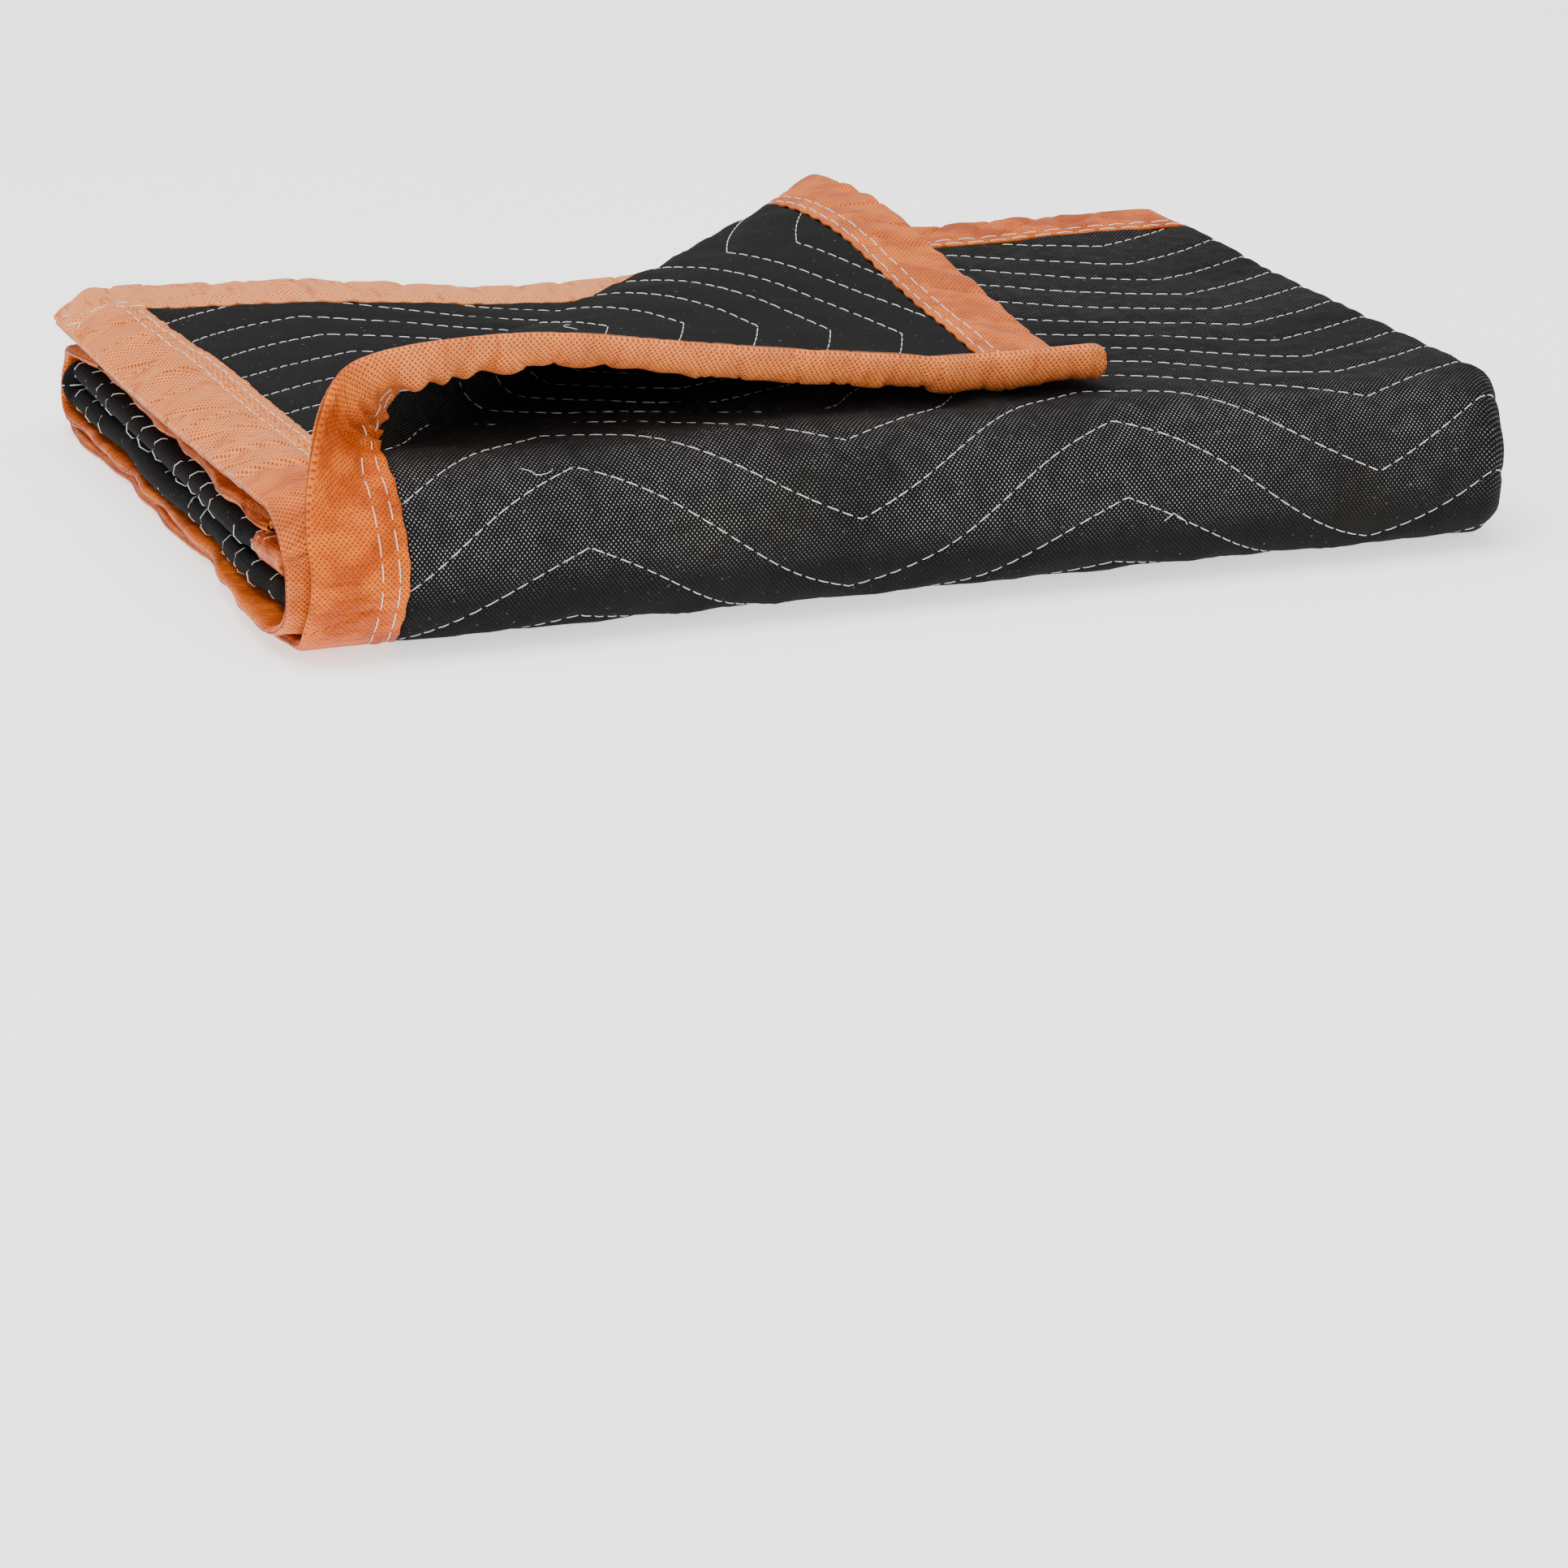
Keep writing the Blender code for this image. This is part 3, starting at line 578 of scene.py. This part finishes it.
def tape_section():
    """Open section of the binding round the edge, as pairs of distance in from the edge and height."""
    outer = CLOTH / 2
    stops = np.linspace(BINDING_WIDTH, 0.0, 30)
    lip = ((BINDING_WIDTH, outer - 0.0009), (BINDING_WIDTH + 0.0001, outer - 0.0003))
    section = list(lip)
    section.extend((stop, outer) for stop in stops)
    section.extend((-outer * math.sin(a), outer * math.cos(a)) for a in np.linspace(0, math.pi, 7)[1:-1])
    section.extend((stop, -outer) for stop in reversed(stops))
    section.extend((stop, -height) for stop, height in reversed(lip))
    return np.array(section)


def no_gathers(s, c):
    return np.zeros_like(s)


def curl_gathers(s, c):
    """Folds drawn together at the curl, smaller ones under the rim, and the join of the tape."""
    pinch = np.exp(-((s - PINCH_PLACE) / PINCH_REACH) ** 2) * smooth((c - 0.003) / 0.016)
    rim = smooth((s - 0.205) / 0.030) * smooth((0.285 - s) / 0.020) * smooth((c - 0.004) / 0.008)
    turns = 2 * math.pi * s / GATHER_PITCH + 45 * c + 2.0 * np.sin(s * 150) + 1.2 * np.sin(s * 61)
    join = 0.0007 * smooth((TAPE_JOIN - s) / 0.0012) - 0.0006 * np.exp(-((s - TAPE_JOIN) / 0.0012) ** 2)
    along_rim = 0.00035 * smooth((0.230 - s) / 0.030) * np.sin(2 * math.pi * s / 0.021 + 3 * np.sin(s * 37))
    return (PINCH_HEIGHT * pinch + GATHER_HEIGHT * rim) * (np.sin(turns) + 0.50) + join + along_rim


class Tape:
    """One strip of binding: s runs along it, and c in from the edge that it is folded over."""

    def __init__(self, name, at_end, far, seed, wrinkles, ruffle, gathers, stations):
        self.name, self.at_end, self.far = name, at_end, far
        self.wrinkles, self.ruffle, self.gathers, self.stations = wrinkles, ruffle, gathers, stations
        self.length = PAD_WIDTH if at_end else PAD_LENGTH
        self.waves = ripples(seed, 12, 0.010, 0.034)
        self.creases = ripples(seed + 50, 9, 0.014, 0.060)

    def flat(self, s, c):
        if self.at_end:
            return (PAD_LENGTH - c if self.far else c), s
        return s, (PAD_WIDTH - c if self.far else c)

    def free(self, s, side):
        """How far a face of the tape is free to wrinkle, with no other layer against it."""
        corner = smooth((0.300 - s) / 0.020)
        front = smooth((0.395 - s) / 0.020)
        second = smooth((s - PATH_STARTS[6]) / 0.020)
        back = smooth((s - 0.300) / 0.020) * smooth((0.440 - s) / 0.020)
        if self.at_end:
            return np.where(side > 0, front, corner) if not self.far else np.where(side < 0, corner, 0.0)
        return np.zeros_like(s) if self.far else np.where(side > 0, back, np.maximum(corner, second))

    def height(self, s, c, side):
        """Height of the tape's face over its plain section, on either side of the cloth."""
        slant = s + side * TAPE_SLANT * c
        free = self.free(s, side)
        pressed = WRINKLES_WHERE_PRESSED + (1 - WRINKLES_WHERE_PRESSED) * free
        loose = self.wrinkles * pressed * (1 - HELD_BY_STITCHES * smooth((c - 0.0190) / 0.0046))
        waves = TAPE_WAVES * ripple(self.waves, slant, c * 0.35 + side * 0.02)
        height = loose * (TAPE_RAISED * free + waves)
        crossing = ripple(self.creases, slant, c * 0.30 + side * 0.05)
        height -= TAPE_CREASES * loose * np.exp(-(crossing / 0.15) ** 2)
        phase = s * 2 * math.pi / BINDING_STITCH
        for number, row in enumerate(BINDING_ROWS):
            near = np.exp(-((c - row) / 0.0011) ** 2)
            height -= near * (GROOVE + GROOVE_CHANGE * np.cos(phase + number))
        between = np.exp(-((c - np.mean(BINDING_ROWS)) / 0.0022) ** 2)
        ribs = np.sin(s * 2 * math.pi / RIB_PITCH + 2.2 * np.sin(s * 73) + side)
        height += between * (0.00018 + 0.00024 * min(self.wrinkles, 1.3) * ribs)
        edge = smooth((c - BINDING_ROWS[0]) / 0.0025)
        height += edge * SCALLOPS * (np.sin(phase + 1.7) - 0.2)
        height += self.gathers(s, c) * (side > 0)
        near_corner = np.minimum(s, self.length - s) < BINDING_WIDTH - 0.001
        hidden = (side < 0) if self.at_end else (side > 0)
        height = np.maximum(height, -TAPE_LOWEST + TAPE_LOWEST * edge)
        return np.where(near_corner & hidden, np.minimum(height, 0) - 0.0009, height)

    def build(self, material):
        section = tape_section()
        s = np.repeat(self.stations, len(section))
        c, h = np.tile(section.T, len(self.stations))
        side = np.where(h >= 0, 1.0, -1.0)
        stitch_waves = np.sin(s * 2 * math.pi / BINDING_STITCH + side)
        wavy = self.ruffle * (stitch_waves + 0.3 * np.sin(s * 2 * math.pi / 0.031))
        inward = np.where(c > BINDING_WIDTH - 0.0005, c + wavy, c)
        lift = self.height(s, c, side) * smooth(np.abs(h) / 0.0012)
        folded = place(*self.flat(s, inward), h + side * lift)
        ring = len(section)
        faces = [
            (r * ring + k, r * ring + k + 1, (r + 1) * ring + k + 1, (r + 1) * ring + k)
            for r in range(len(self.stations) - 1)
            for k in range(ring - 1)
        ]
        mesh = bpy.data.meshes.new(self.name)
        mesh.from_pydata(folded.tolist(), [], faces)
        along = s if self.at_end else s + SIDE_TAPE_OFFSET
        lip = np.where(c > BINDING_WIDTH - 0.0005, LIP_UV, c)
        put_uv(mesh, np.stack([along, lip + (side < 0) * INNER_TAPE_OFFSET], axis=-1))
        return new_mesh_object(self.name, mesh, material)


def make_tapes():
    """The four strips. Their sections are close together where they show, and coarse elsewhere."""
    s = PATH_STARTS
    front_end, back_start, back_end = width_marks(OUTER_LEVEL)[1:]
    inner_front, _, inner_middle = width_marks(SECOND_LEVEL)[1:]
    start, wide_end, long_end = -TAPE_OVERLAP, PAD_WIDTH + TAPE_OVERLAP, PAD_LENGTH + TAPE_OVERLAP
    outer_end = spread(
        start, 0.0011, front_end + 0.004, 0.0032, back_start, 0.0025, back_end, 0.0032, wide_end,
    )
    inner_end = spread(start, 0.0011, inner_front, 0.0017, inner_middle, 0.0025, wide_end)
    outer_side = spread(
        start, 0.0014, RIGHT_END, 0.0022, s[2] + 0.006, 0.030, s[3] - 0.030, 0.003, s[3], 0.0011,
        s[4], 0.003, s[4] + 0.030, 0.030, s[5] - 0.010, 0.0020, s[6] + 0.010, 0.020,
        s[6] + 0.150, 0.0014, long_end,
    )
    inner_side = spread(
        start, 0.0020, 0.060, 0.010, RIGHT_END, 0.0030, s[2] + 0.006, 0.030, s[3] - 0.030, 0.005,
        s[3], 0.0015, s[4], 0.005, s[4] + 0.030, 0.030, s[5] - 0.010, 0.0030, s[6] + 0.010, 0.020,
        PAD_LENGTH - 0.060, 0.0020, long_end,
    )
    return [
        Tape("end_tape_outer", True, False, 11, 0.9, 0.0002, curl_gathers, outer_end),
        Tape("end_tape_inner", True, True, 12, 1.7, 0.0003, no_gathers, inner_end),
        Tape("side_tape_outer", False, False, 13, 0.8, 0.0004, no_gathers, outer_side),
        Tape("side_tape_inner", False, True, 14, 1.2, 0.0004, no_gathers, inner_side),
    ]


class Thread:
    """Gathers short lengths of thread into one mesh."""

    def __init__(self):
        self.points, self.faces = [], []

    def add(self, path, radii):
        """One length of thread, kept above the floor."""
        path[:, 2] = np.maximum(path[:, 2], radii)
        along = unit(np.gradient(path, axis=0))
        across = unit(np.cross(along, np.array([0.31, 0.17, 0.93])))
        other = np.cross(along, across)
        first = len(self.points)
        for centre, a, b, radius in zip(path, across, other, radii):
            for side in range(THREAD_SIDES):
                angle = 2 * math.pi * side / THREAD_SIDES
                self.points.append(centre + radius * (math.cos(angle) * a + math.sin(angle) * b))
        for ring in range(len(path) - 1):
            for side in range(THREAD_SIDES):
                after = (side + 1) % THREAD_SIDES
                low, high = first + ring * THREAD_SIDES, first + (ring + 1) * THREAD_SIDES
                self.faces.append((low + side, low + after, high + after, high + side))
        self.faces.append(tuple(first + side for side in reversed(range(THREAD_SIDES))))
        last = first + (len(path) - 1) * THREAD_SIDES
        self.faces.append(tuple(last + side for side in range(THREAD_SIDES)))

    def sew(self, length, stitch, dash, radius, rng, line, shown):
        """Dashes along a line, which gives flat places and heights for distances along it."""
        starts = []
        position = rng.uniform(0, stitch)
        while position + dash < length:
            starts.append((position, dash * rng.uniform(0.82, 1.06)))
            position += stitch * rng.uniform(0.97, 1.03)
        samples = np.array([0.0, 0.12, 0.5, 0.88, 1.0])
        dip = np.array([-0.00035, 0.00012, 0.00022, 0.00012, -0.00035])
        starts, lengths = np.array(starts).T
        at = starts[:, None] + samples * lengths[:, None]
        u, v, h = line(at.ravel())
        seen = shown(u, v).reshape(at.shape)[:, 2]
        if not seen.any():
            return
        raised = np.abs(h) + np.tile(dip, len(starts))
        folded = place(u, v, np.sign(h) * raised).reshape(*at.shape, 3)
        for path in folded[seen]:
            self.add(path, radius * np.array([0.7, 1.0, 1.05, 1.0, 0.7]))

    def build(self, name, material):
        mesh = bpy.data.meshes.new(name)
        mesh.from_pydata([tuple(point) for point in self.points], [], self.faces)
        return new_mesh_object(name, mesh, material)


def inside_binding(u, v):
    return np.minimum(np.minimum(u, PAD_LENGTH - u), np.minimum(v, PAD_WIDTH - v)) > BINDING_WIDTH + 0.001


def shown_outside(u, v):
    s = PATH_STARTS
    front_end, back_start, back_end = width_marks(OUTER_LEVEL)[1:]
    outer = (u < s[2]) & ((v < front_end) | ((v > back_start - 0.020) & (v < back_end + 0.010)))
    return inside_binding(u, v) & outer


def shown_at_half_fold(u, v):
    s = PATH_STARTS
    return inside_binding(u, v) & (s[3] - 0.003 < u) & (u < s[4] + 0.004)


def shown_inside(u, v):
    flap = (u < 0.320) & (v < 0.330)
    second = (u > PAD_LENGTH - 0.330) & (v < 0.320)
    return inside_binding(u, v) & (flap | second | (u > PAD_LENGTH - 0.060))


SEWN = {
    "faces": ((1, shown_outside), (-1, shown_inside)),
    "half fold": ((1, shown_at_half_fold),),
}


def quilting_thread(material):
    rng = np.random.default_rng(21)
    thread = Thread()
    u = np.linspace(0.0, PAD_LENGTH, 1800)
    low = -math.ceil(WAVE_HEIGHT / QUILT_PITCH)
    high = math.ceil((PAD_WIDTH + WAVE_HEIGHT) / QUILT_PITCH)
    lines = [(n, "faces") for n in range(low, high)]
    lines.extend((n, "half fold") for n in np.arange(low, high, HALF_FOLD_LINES))
    for number, places in lines:
        v = quilting_line(u, number)
        travelled = np.concatenate(([0.0], np.cumsum(np.hypot(np.diff(u), np.diff(v)))))
        for face, shown in SEWN[places]:
            def line(distance):
                line_u, line_v = np.interp(distance, travelled, u), np.interp(distance, travelled, v)
                return line_u, line_v, face * face_height(line_u, line_v)

            thread.sew(travelled[-1], QUILT_STITCH, QUILT_DASH, QUILT_THREAD, rng, line, shown)
    return thread.build("quilting_thread", material)


def tape_seen(u, v):
    """Everywhere that shows, but for the pinch at the curl and the back of the second layer."""
    s = PATH_STARTS
    shown = (u < s[2]) | ((s[3] - 0.02 < u) & (u < s[4] + 0.02)) | (u > PAD_LENGTH - BINDING_WIDTH)
    return shown & ~((u < BINDING_WIDTH) & (np.abs(v - 0.293) < 0.012))


def binding_thread(tapes, material):
    rng = np.random.default_rng(22)
    thread = Thread()
    for tape in tapes:
        for side in (1.0, -1.0):
            on_top = (side > 0) == tape.at_end
            start = 0.004 if on_top else BINDING_WIDTH
            for row in BINDING_ROWS:
                def line(distance):
                    s = start + distance
                    c = row + 0.0004 * np.sin(s * 47 + row * 900)
                    lift = tape.height(s, c, np.full_like(s, side))
                    return *tape.flat(s, c), side * (CLOTH / 2 + lift)

                length = tape.length - 2 * start
                thread.sew(length, BINDING_STITCH, BINDING_DASH, THREAD, rng, line, tape_seen)
    pinch_stitches(thread)
    corner_zigzag(thread)
    loose_ends(thread)
    return thread.build("binding_thread", material)


def pinch_stitches(thread):
    """Stray stitches where the binding is drawn together at the curl."""
    rng = np.random.default_rng(23)
    for number, turn in enumerate(PINCH_TURNS):
        reach = np.linspace(-0.5, 0.5, 6) * rng.uniform(0.0060, 0.0078)
        u = 0.0225 + 0.0055 * (number % 2) + reach * math.sin(turn)
        v = 0.2825 + 0.0066 * number + reach * math.cos(turn)
        lift = curl_gathers(v, u).max() + np.array([-0.0004, 0.0002, 0.0003, 0.0003, 0.0002, -0.0004])
        thread.add(place(u, v, CLOTH / 2 + lift), np.full(6, THREAD))


def corner_zigzag(thread):
    """The zigzag sewn over the second layer's corner."""
    steps = np.linspace(0, 1, 5)
    for (v0, c0), (v1, c1) in zip(CORNER_ZIGZAG, CORNER_ZIGZAG[1:]):
        v = v0 + steps * (v1 - v0)
        c = c0 + steps * (c1 - c0)
        thread.add(place(PAD_LENGTH - c, v, np.full(5, -CLOTH / 2 - 0.0006)), np.full(5, THREAD))


def loose_ends(thread):
    for u0, v0, face, length, bend in LOOSE_ENDS:
        along = np.linspace(0, 1, 9)
        u = u0 + length * (along - 0.5) + 0.0010 * np.sin(along * 9)
        v = v0 + length * 0.35 * np.sin(along * math.pi * bend)
        height = face_height(u, v) + 0.0003 + 0.0009 * np.sin(along * math.pi)
        thread.add(place(u, v, face * height), np.full(9, THREAD * 0.55))


# Materials.

class Nodes:
    """Short names for the nodes of one material."""

    def __init__(self, name):
        self.material = bpy.data.materials.new(name)
        self.material.use_nodes = True
        self.tree = self.material.node_tree
        self.shader = self.tree.nodes["Principled BSDF"]

    def add(self, kind, **settings):
        node = self.tree.nodes.new(kind)
        for key, value in settings.items():
            setattr(node, key, value)
        return node

    def link(self, out, into):
        self.tree.links.new(out, into)

    def math(self, operation, a, b):
        node = self.add("ShaderNodeMath", operation=operation)
        for socket, value in zip(node.inputs, (a, b)):
            if isinstance(value, (int, float)):
                socket.default_value = value
            else:
                self.link(value, socket)
        return node.outputs[0]

    def ramp(self, value, low, high, bottom=0.0, top=1.0):
        node = self.add("ShaderNodeMapRange", interpolation_type="SMOOTHSTEP")
        self.link(value, node.inputs[0])
        for socket, number in zip(node.inputs[1:5], (low, high, bottom, top)):
            socket.default_value = number
        return node.outputs[0]

    def mix(self, share, first, second):
        node = self.add("ShaderNodeMix", data_type="RGBA")
        self.link(share, node.inputs[0])
        for socket, value in ((node.inputs[6], first), (node.inputs[7], second)):
            if isinstance(value, tuple):
                socket.default_value = (*value, 1.0)
            else:
                self.link(value, socket)
        return node.outputs[2]

    def flat(self):
        """The flat place on the cloth, in metres."""
        return self.add("ShaderNodeUVMap", uv_map="flat").outputs[0]

    def dots(self, along, across, low, high):
        """Staggered dots pressed into the flat cloth, so far apart along and across it."""
        split = self.add("ShaderNodeSeparateXYZ")
        self.link(self.flat(), split.inputs[0])
        first = self.math("SINE", self.math("MULTIPLY", split.outputs[0], 2 * math.pi / along), 0.0)
        second = self.math("SINE", self.math("MULTIPLY", split.outputs[1], 2 * math.pi / across), 0.0)
        return self.ramp(self.math("MULTIPLY", first, second), low, high)

    def noise(self, where, scale, detail, roughness=0.55):
        node = self.add("ShaderNodeTexNoise")
        self.link(where, node.inputs["Vector"])
        node.inputs["Scale"].default_value = scale
        node.inputs["Detail"].default_value = detail
        node.inputs["Roughness"].default_value = roughness
        return node.outputs[0]

    def streaks(self, along, across):
        """Noise drawn out across a tape: so many changes a metre along it and across it."""
        scaled = self.add("ShaderNodeVectorMath", operation="MULTIPLY")
        self.link(self.flat(), scaled.inputs[0])
        scaled.inputs[1].default_value = (along, across, 1.0)
        return self.noise(scaled.outputs[0], 1.0, 3.0, 0.6)

    def place(self):
        return self.add("ShaderNodeTexCoord").outputs["Object"]

    def bump(self, height, distance, strength, before=None):
        node = self.add("ShaderNodeBump")
        node.inputs["Distance"].default_value = distance
        node.inputs["Strength"].default_value = strength
        self.link(height, node.inputs["Height"])
        if before is not None:
            self.link(before, node.inputs["Normal"])
        return node.outputs[0]


def black_nonwoven():
    """Black cloth with pale pressed dots, whose pale colour is partly a painted glint, and which show most
    in a band of painted light on the front fold, with painted shade under the rim and low on the front.
    """
    n = Nodes("black_nonwoven_cloth")
    dots = n.dots(0.00175, 0.0020, 0.35, 0.80)
    split = n.add("ShaderNodeSeparateXYZ")
    n.link(n.flat(), split.inputs[0])
    between = (INNER_FACE_OFFSET / 2 - 0.1, INNER_FACE_OFFSET / 2 + 0.1)
    outer_face = n.ramp(split.outputs[1], *between, 1.0, 0.18)
    outermost = n.ramp(split.outputs[0], 0.480, 0.500, 1.0, 0.12)
    # Painted light: the dots are brightest in the band of the front fold that faces the overhead lamp, and
    # fainter under the rim and low on the front, where shade falls; the slow noise mixed in is random
    # patchiness.
    shade_under_rim = n.ramp(split.outputs[1], 0.296, 0.326, 0.30, 1.0)
    shade_low_front = n.ramp(split.outputs[1], 0.348, 0.368, 1.0, 0.05)
    lit_band = n.math("MULTIPLY", shade_under_rim, shade_low_front)
    patchy_lit_band = n.math("MULTIPLY", n.ramp(n.noise(n.flat(), 16.0, 3.0), 0.30, 0.62, 0.35, 1.0), lit_band)
    patchy = n.ramp(n.noise(n.flat(), 160.0, 2.0), 0.30, 0.70)
    fibres = n.noise(n.flat(), 1400.0, 2.0, 0.7)
    lint = n.ramp(n.noise(n.flat(), 520.0, 1.0), 0.70, 0.78)
    dusty = n.ramp(n.noise(n.flat(), 9.0, 2.0), 0.50, 0.75)
    ground = n.mix(n.ramp(fibres, 0.35, 0.75), (0.0018, 0.0018, 0.0020), (0.0105, 0.0100, 0.0102))
    ground = n.mix(n.math("MULTIPLY", dusty, 0.50), ground, (0.0105, 0.0088, 0.0055))
    inner = n.ramp(split.outputs[1], *between, 0.0, 0.40)
    ground = n.mix(inner, ground, (0.0170, 0.0165, 0.0165))
    showing = n.math("MULTIPLY", n.math("ADD", n.math("MULTIPLY", patchy, 0.55), 0.45), dots)
    showing = n.math("MULTIPLY", n.math("MULTIPLY", showing, outer_face), outermost)
    strength = n.math("MULTIPLY", showing, n.math("ADD", n.math("MULTIPLY", patchy_lit_band, 0.88), 0.03))
    # The pale dot colour stands partly for painted glints of the pressed points.
    colour = n.mix(strength, ground, (0.36, 0.36, 0.36))
    colour = n.mix(n.math("MULTIPLY", lint, 0.35), colour, (0.22, 0.22, 0.19))
    n.link(colour, n.shader.inputs["Base Color"])
    n.shader.inputs["Roughness"].default_value = 0.90
    n.shader.inputs["Specular IOR Level"].default_value = 0.10
    soft = n.bump(fibres, 0.0004, 0.5)
    n.link(n.bump(dots, 0.0003, 0.55, soft), n.shader.inputs["Normal"])
    return n.material


def orange_binding():
    """Creased orange tape, with painted shade in its creases, and paler on the inner face, the turned-back
    corner and the second layer as painted top light and sheen.
    """
    n = Nodes("orange_binding_tape")
    dots = n.dots(DOT_PITCH, DOT_PITCH, 0.10, 0.60)
    cloudy = n.ramp(n.noise(n.place(), 60.0, 4.0), 0.38, 0.62)
    fibres = n.noise(n.flat(), 900.0, 2.0, 0.6)
    creased = n.streaks(230.0, 55.0)
    ground = n.mix(cloudy, (0.40, 0.050, 0.003), (0.72, 0.142, 0.009))
    split = n.add("ShaderNodeSeparateXYZ")
    n.link(n.flat(), split.inputs[0])
    # Painted top light and sheen: the tape's inner face, the turned-back corner and the second layer's
    # band, which face the overhead lamp, are mixed towards a pale salmon.
    inner_face = n.ramp(split.outputs[1], 0.055, 0.065, 0.0, 0.20)
    turned_back = n.ramp(split.outputs[0], 0.265, 0.305, 0.50, 0.0)
    second_layer = n.ramp(split.outputs[0], SIDE_TAPE_OFFSET + 1.360, SIDE_TAPE_OFFSET + 1.380, 0.0, 0.80)
    top_lit_sheen = n.math("ADD", n.math("ADD", inner_face, turned_back), second_layer)
    ground = n.mix(top_lit_sheen, ground, (0.95, 0.330, 0.110))
    # Painted shade: the tape is darkened along its creases, where the folds would shade it.
    crease_shade = n.math("MULTIPLY", n.ramp(creased, 0.30, 0.48, 1.0, 0.0), 0.50)
    ground = n.mix(crease_shade, ground, (0.42, 0.060, 0.004))
    ground = n.mix(n.math("MULTIPLY", n.ramp(fibres, 0.35, 0.75), 0.16), ground, (0.80, 0.24, 0.040))
    colour = n.mix(n.math("MULTIPLY", dots, 0.80), ground, (0.24, 0.026, 0.002))
    n.link(colour, n.shader.inputs["Base Color"])
    n.shader.inputs["Roughness"].default_value = 0.50
    n.shader.inputs["Specular IOR Level"].default_value = 0.40
    n.shader.inputs["Specular Tint"].default_value = (1.0, 0.42, 0.14, 1.0)
    soft = n.bump(fibres, 0.0002, 0.35)
    wrinkled = n.bump(creased, 0.0030, 1.0, soft)
    pressed = n.math("SUBTRACT", 1.0, dots)
    n.link(n.bump(pressed, 0.0003, 0.6, wrinkled), n.shader.inputs["Normal"])
    return n.material


def white_thread():
    n = Nodes("white_thread")
    fuzz = n.noise(n.place(), 2500.0, 2.0)
    n.link(n.mix(fuzz, (0.70, 0.69, 0.67), (0.95, 0.94, 0.92)), n.shader.inputs["Base Color"])
    n.shader.inputs["Roughness"].default_value = 0.6
    n.link(n.bump(fuzz, 0.0001, 0.4), n.shader.inputs["Normal"])
    return n.material


def floor_material():
    n = Nodes("pale_floor")
    grain = n.noise(n.place(), 40.0, 3.0)
    n.link(n.mix(grain, (0.88, 0.88, 0.88), (0.90, 0.90, 0.90)), n.shader.inputs["Base Color"])
    n.shader.inputs["Roughness"].default_value = 0.8
    n.shader.inputs["Emission Color"].default_value = (1.0, 1.0, 1.0, 1.0)
    n.shader.inputs["Emission Strength"].default_value = FLOOR_GLOW
    return n.material


def studio():
    mesh = bpy.data.meshes.new("floor")
    mesh.from_pydata([(-30, -30, 0), (30, -30, 0), (30, 30, 0), (-30, 30, 0)], [], [(0, 1, 2, 3)])
    floor = new_mesh_object("floor", mesh, floor_material())
    world = bpy.data.worlds.new("studio")
    bpy.context.scene.world = world
    world.use_nodes = True
    background = world.node_tree.nodes["Background"]
    background.inputs[0].default_value = (1.0, 1.0, 1.0, 1.0)
    background.inputs[1].default_value = WORLD_LIGHT
    for name, where, size, power in LAMPS:
        lamp = bpy.data.lights.new(name, "AREA")
        lamp.size = size
        lamp.energy = power
        holder = bpy.data.objects.new(name, lamp)
        aim = (Vector((0, 0, 0.03)) - Vector(where)).to_track_quat("-Z", "Y")
        holder.matrix_world = Matrix.Translation(where) @ aim.to_matrix().to_4x4()
        bpy.context.scene.collection.objects.link(holder)


def photo_camera():
    a, e = CAMERA_AZIMUTH, CAMERA_ELEVATION
    forward = Vector((math.sin(a) * math.cos(e), math.cos(a) * math.cos(e), -math.sin(e)))
    right = Vector((math.cos(a), -math.sin(a), 0.0))
    up = right.cross(forward)
    camera = bpy.data.cameras.new("photo_camera")
    camera.sensor_width = SENSOR
    camera.lens = SENSOR * CAMERA_FOCAL / IMAGE_SIZE
    camera.clip_end = 100.0
    holder = bpy.data.objects.new("photo_camera", camera)
    where = Vector(CAMERA_PLACE) - Vector((CENTRE_X, CENTRE_Y, 0.0))
    holder.matrix_world = Matrix.Translation(where) @ Matrix((right, up, -forward)).transposed().to_4x4()
    bpy.context.scene.collection.objects.link(holder)
    bpy.context.scene.camera = holder


def main():
    photo_camera()
    black, orange, white = black_nonwoven(), orange_binding(), white_thread()
    cloth = new_mesh_object("quilted_cloth", cloth_mesh(), black)
    tapes = make_tapes()
    strips = [tape.build(orange) for tape in tapes]
    threads = [quilting_thread(white), binding_thread(tapes, white)]
    for piece in [cloth, *strips, *threads]:
        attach(piece, "root")
    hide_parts("quilted_pad")
    for piece, node in zip(strips, ("end_binding_outer", "end_binding_inner", "side_binding_outer",
                                    "side_binding_inner")):
        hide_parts(node)
    studio()


main()
